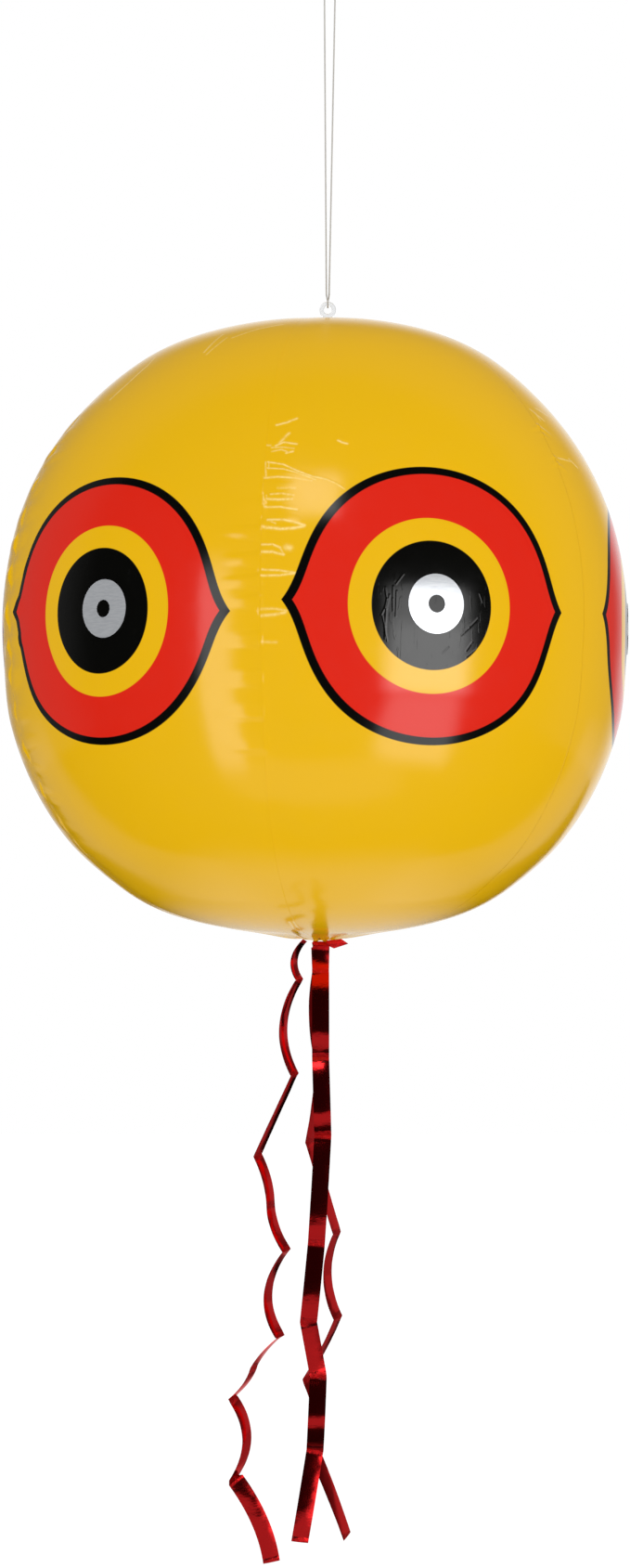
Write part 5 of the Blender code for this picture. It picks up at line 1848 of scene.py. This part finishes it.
def stripTree():
    tree, given, result = newTree(
        "foilStrip",
        "GeometryNodeTree",
        [
            ("Path", "NodeSocketGeometry", None),
            ("Points", "NodeSocketInt", 2),
            ("Columns", "NodeSocketInt", 9),
            ("Width", "NodeSocketFloat", 0.01),
            ("Curl", "NodeSocketFloat", 0.2),
            ("Ripple", "NodeSocketFloat", 0.0001),
            ("Material", "NodeSocketMaterial", None),
        ],
        [("Strip", "NodeSocketGeometry")],
    )
    grid = node(tree, "GeometryNodeMeshGrid")
    tree.links.new(given["Columns"], grid.inputs["Vertices X"])
    tree.links.new(given["Points"], grid.inputs["Vertices Y"])
    spot = node(tree, "GeometryNodeInputPosition").outputs[0]
    across, down, _ = splitVector(tree, spot)
    last = maths(tree, "SUBTRACT", given["Points"], 1.0)
    row = maths(tree, "ROUND", maths(tree, "MULTIPLY", maths(tree, "ADD", down, 0.5), last))
    turn = node(tree, "GeometryNodeInputNamedAttribute", data_type="FLOAT")
    turn.inputs["Name"].default_value = "turn"

    def pathValue(kind, value, shift):
        sample = node(tree, "GeometryNodeSampleIndex", data_type=kind, domain="POINT", clamp=True)
        tree.links.new(given["Path"], sample.inputs["Geometry"])
        tree.links.new(value, sample.inputs["Value"])
        tree.links.new(maths(tree, "ADD", row, shift), sample.inputs["Index"])
        return sample.outputs["Value"]

    place = pathValue("FLOAT_VECTOR", spot, 0.0)
    along = vectors(
        tree, "SUBTRACT", pathValue("FLOAT_VECTOR", spot, 1.0), pathValue("FLOAT_VECTOR", spot, -1.0)
    )
    angle = pathValue("FLOAT", turn.outputs["Attribute"], 0.0)
    level = joinVector(tree, maths(tree, "COSINE", angle), maths(tree, "SINE", angle), 0.0)
    square = vectors(tree, "DOT_PRODUCT", along, along)
    share = maths(tree, "DIVIDE", vectors(tree, "DOT_PRODUCT", level, along), square)
    side = vectors(
        tree, "NORMALIZE", vectors(tree, "SUBTRACT", level, vectors(tree, "SCALE", along, share))
    )
    normal = vectors(tree, "NORMALIZE", vectors(tree, "CROSS_PRODUCT", along, side))
    bend = maths(tree, "MULTIPLY", across, given["Curl"])
    radius = maths(tree, "DIVIDE", given["Width"], given["Curl"])
    aside = maths(tree, "MULTIPLY", radius, maths(tree, "SINE", bend))
    out = maths(tree, "MULTIPLY", radius, maths(tree, "SUBTRACT", maths(tree, "COSINE", bend), 1.0))
    waves = node(tree, "ShaderNodeTexNoise", noise_dimensions="3D")
    tree.links.new(joinVector(
        tree, maths(tree, "MULTIPLY", across, 1.2), maths(tree, "MULTIPLY", row, 0.14), angle
    ), waves.inputs["Vector"])
    waves.inputs["Scale"].default_value = 1.0
    ripple = maths(tree, "MULTIPLY", maths(tree, "SUBTRACT", waves.outputs["Fac"], 0.5), given["Ripple"])
    out = maths(tree, "ADD", out, maths(tree, "MULTIPLY", ripple, 4.0))
    place = vectors(tree, "ADD", place, vectors(tree, "SCALE", side, aside))
    place = vectors(tree, "ADD", place, vectors(tree, "SCALE", normal, out))
    fold = node(tree, "GeometryNodeInputNamedAttribute", data_type="FLOAT")
    fold.inputs["Name"].default_value = "fold"
    kept = node(tree, "GeometryNodeStoreNamedAttribute", data_type="FLOAT", domain="POINT")
    kept.inputs["Name"].default_value = "fold"
    tree.links.new(grid.outputs["Mesh"], kept.inputs["Geometry"])
    tree.links.new(pathValue("FLOAT", fold.outputs["Attribute"], 0.0), kept.inputs["Value"])
    moved = node(tree, "GeometryNodeSetPosition")
    tree.links.new(kept.outputs[0], moved.inputs["Geometry"])
    tree.links.new(place, moved.inputs["Position"])
    finishTree(tree, moved.outputs[0], given["Material"], result[0])
    return tree


def streamerLine(rows, bowAxis, settings):
    reach, top = settings["reach"], Vector(settings["top"])
    folds = [top + Vector((row[1] * reach, row[2] * reach, -row[0] * settings["drop"])) for row in rows]
    bows, turnsIn, turnsOut = zip(*[row[3:] for row in rows])
    path, angles = [folds[0]], [math.radians(turnsOut[0])]
    for k in range(1, len(folds)):
        start, end = folds[k - 1], folds[k]
        startTurn, endTurn = math.radians(turnsOut[k - 1]), math.radians(turnsIn[k])
        middle = (start + end) / 2 + Vector(bowAxis) * (2 * bows[k] * reach)
        steps = max(settings["fewestSteps"], round((end - start).length / settings["step"]))
        for step in range(1, steps + 1):
            t = step / steps
            path.append(start * (1 - t) ** 2 + 2 * middle * t * (1 - t) + end * t**2)
            angles.append(startTurn * (1 - t) + endTurn * t)
    away = [min((place - fold).length for fold in folds) for place in path]
    return path, angles, away


def makeStreamers(settings):
    material = redFoil(settings)
    tree = stripTree()
    for nodeName, (name, bowAxis, rows) in settings["strips"].items():
        path, angles, away = streamerLine(rows, bowAxis, settings)
        mesh = bpy.data.meshes.new(name)
        mesh.from_pydata([tuple(p) for p in path], [(k, k + 1) for k in range(len(path) - 1)], [])
        mesh.attributes.new("turn", "FLOAT", "POINT").data.foreach_set("value", angles)
        mesh.attributes.new("fold", "FLOAT", "POINT").data.foreach_set("value", away)
        strip = addObject(name, mesh)
        modifier = strip.modifiers.new("strip", "NODES")
        modifier.node_group = tree
        setInputs(modifier, {
            "Points": len(path),
            "Columns": settings["columns"],
            "Width": settings["width"],
            "Curl": math.radians(settings["curl"]),
            "Ripple": settings["ripple"],
            "Material": material,
        })
        solid = strip.modifiers.new("thickness", "SOLIDIFY")
        solid.thickness = settings["thickness"]
        solid.offset = 0.0
        strip.data = bakedMesh(strip)
        strip.data.name = name
        strip.data.set_sharp_from_angle(angle=math.radians(24))
        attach(strip, nodeName)
        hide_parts(nodeName)
    return material


redMaterial = makeStreamers(streamerSettings)
print("scene: streamers made")


# Knot: the bunched band through the lower eyelet, the folded lump in front of it and the cut end

knotSettings = {
    "hole": (-0.00615, 0.0, -0.6392),
    "forward": 0.0052,
    "loopRadius": 0.0041,
    "bandWide": 0.00125,
    "bandThin": 0.0007,
    "bandPoints": 16,
    "crimps": 5,
    "crimpDepth": 0.22,
    "lumps": (
        ((0.0, 0.0, 0.0), (0.0060, 0.0022, 0.0025), 0.0),
        ((-0.0028, -0.0004, 0.0006), (0.0031, 0.0021, 0.0021), 18.0),
        ((0.0030, -0.0003, -0.0005), (0.0029, 0.0020, 0.0021), -14.0),
    ),
    "planes": 26,
    "seed": 5,
    "voxel": 0.00018,
    "tailLower": ((0.0009, -0.0015), (0.0054, -0.0036), (0.0147, -0.0006)),
    "tailUpper": ((0.0003, 0.0015), (0.0099, 0.0027), (0.0147, -0.0006)),
    "tailStart": (-0.0028, -0.0078, -0.6376),
    "tailFold": 0.0007,
    "tailLean": 0.0016,
    "tailGrid": (36, 8),
    # the two edges meet just past this share of the tail
    "tailShare": 0.985,
    "tailThickness": 0.00016,
}


def facetedLump(centre, radii, lean, rng, planes):
    # a ball pressed flat in many directions, like film folded over itself
    shape = bmesh.new()
    bmesh.ops.create_icosphere(shape, subdivisions=5, radius=1.0)
    ways = rng.normal(size=(planes, 3))
    ways /= np.linalg.norm(ways, axis=1)[:, None]
    depths = rng.uniform(0.74, 1.0, planes)
    turn = Matrix.Rotation(math.radians(lean), 3, "Y")
    points = []
    for vert in shape.verts:
        facing = ways @ np.array(vert.co)
        reach = min(1.0, (depths / np.maximum(facing, 0.05)).min())
        spot = vert.co * reach
        points.append(turn @ Vector([a * b for a, b in zip(spot, radii)]) + Vector(centre))
    faces = [tuple(v.index for v in face.verts) for face in shape.faces]
    shape.free()
    return points, faces


def makeKnot(settings, material):
    hole = Vector(settings["hole"])
    rng = np.random.default_rng(settings["seed"])
    middle = Matrix.Translation(hole - Vector((0, 0, settings["loopRadius"])))
    across = middle @ Matrix.Rotation(math.pi / 2, 4, "Y")
    band = []
    for k in range(settings["bandPoints"]):
        turn = 2 * math.pi * k / settings["bandPoints"]
        crimp = 1 + settings["crimpDepth"] * math.cos(settings["crimps"] * turn)
        band.append((
            settings["loopRadius"] + settings["bandThin"] * crimp * math.cos(turn),
            settings["bandWide"] * crimp * math.sin(turn),
        ))
    shapes = [latheShape(band, across, 72)]
    front = hole - Vector((0, settings["forward"], 0))
    for centre, radii, lean in settings["lumps"]:
        shapes.append(facetedLump(front + Vector(centre), radii, lean, rng, settings["planes"]))
    knot = remeshed("streamerKnot", shapes, material, settings["voxel"], 1)
    knot.data.set_sharp_from_angle(angle=math.radians(30))
    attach(knot, "balloon")
    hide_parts("streamer_knot")


def alongLine(corners, share):
    lengths = [math.dist(a, b) for a, b in zip(corners, corners[1:])]
    left = share * sum(lengths)
    for (a, b), length in zip(zip(corners, corners[1:]), lengths):
        if left <= length:
            return [p + (q - p) * left / length for p, q in zip(a, b)]
        left -= length
    return corners[-1]


def makeTail(settings, material):
    start = Vector(settings["tailStart"])
    rows, columns = settings["tailGrid"]
    points = []
    for k in range(rows + 1):
        share = k / rows * settings["tailShare"]
        low = alongLine(settings["tailLower"], share)
        high = alongLine(settings["tailUpper"], share)
        for j in range(columns + 1):
            side = j / columns
            x = low[0] * (1 - side) + high[0] * side
            z = low[1] * (1 - side) + high[1] * side
            fold = settings["tailFold"] * (1 - abs(2 * side - 1)) * (1 - 0.6 * share)
            points.append(start + Vector((x, settings["tailLean"] * share - fold, z)))
    wide = columns + 1
    faces = [
        (k * wide + j, (k + 1) * wide + j, (k + 1) * wide + j + 1, k * wide + j + 1)
        for k in range(rows) for j in range(columns)
    ]
    tail = meshObject("streamerTail", points, faces, material)
    solid = tail.modifiers.new("thickness", "SOLIDIFY")
    solid.thickness = settings["tailThickness"]
    tail.data = bakedMesh(tail)
    tail.data.name = "streamerTail"
    tail.data.set_sharp_from_angle(angle=math.radians(24))
    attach(tail, "balloon")
    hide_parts("streamer_tail")


makeKnot(knotSettings, redMaterial)
makeTail(knotSettings, redMaterial)
print("scene: knot made")
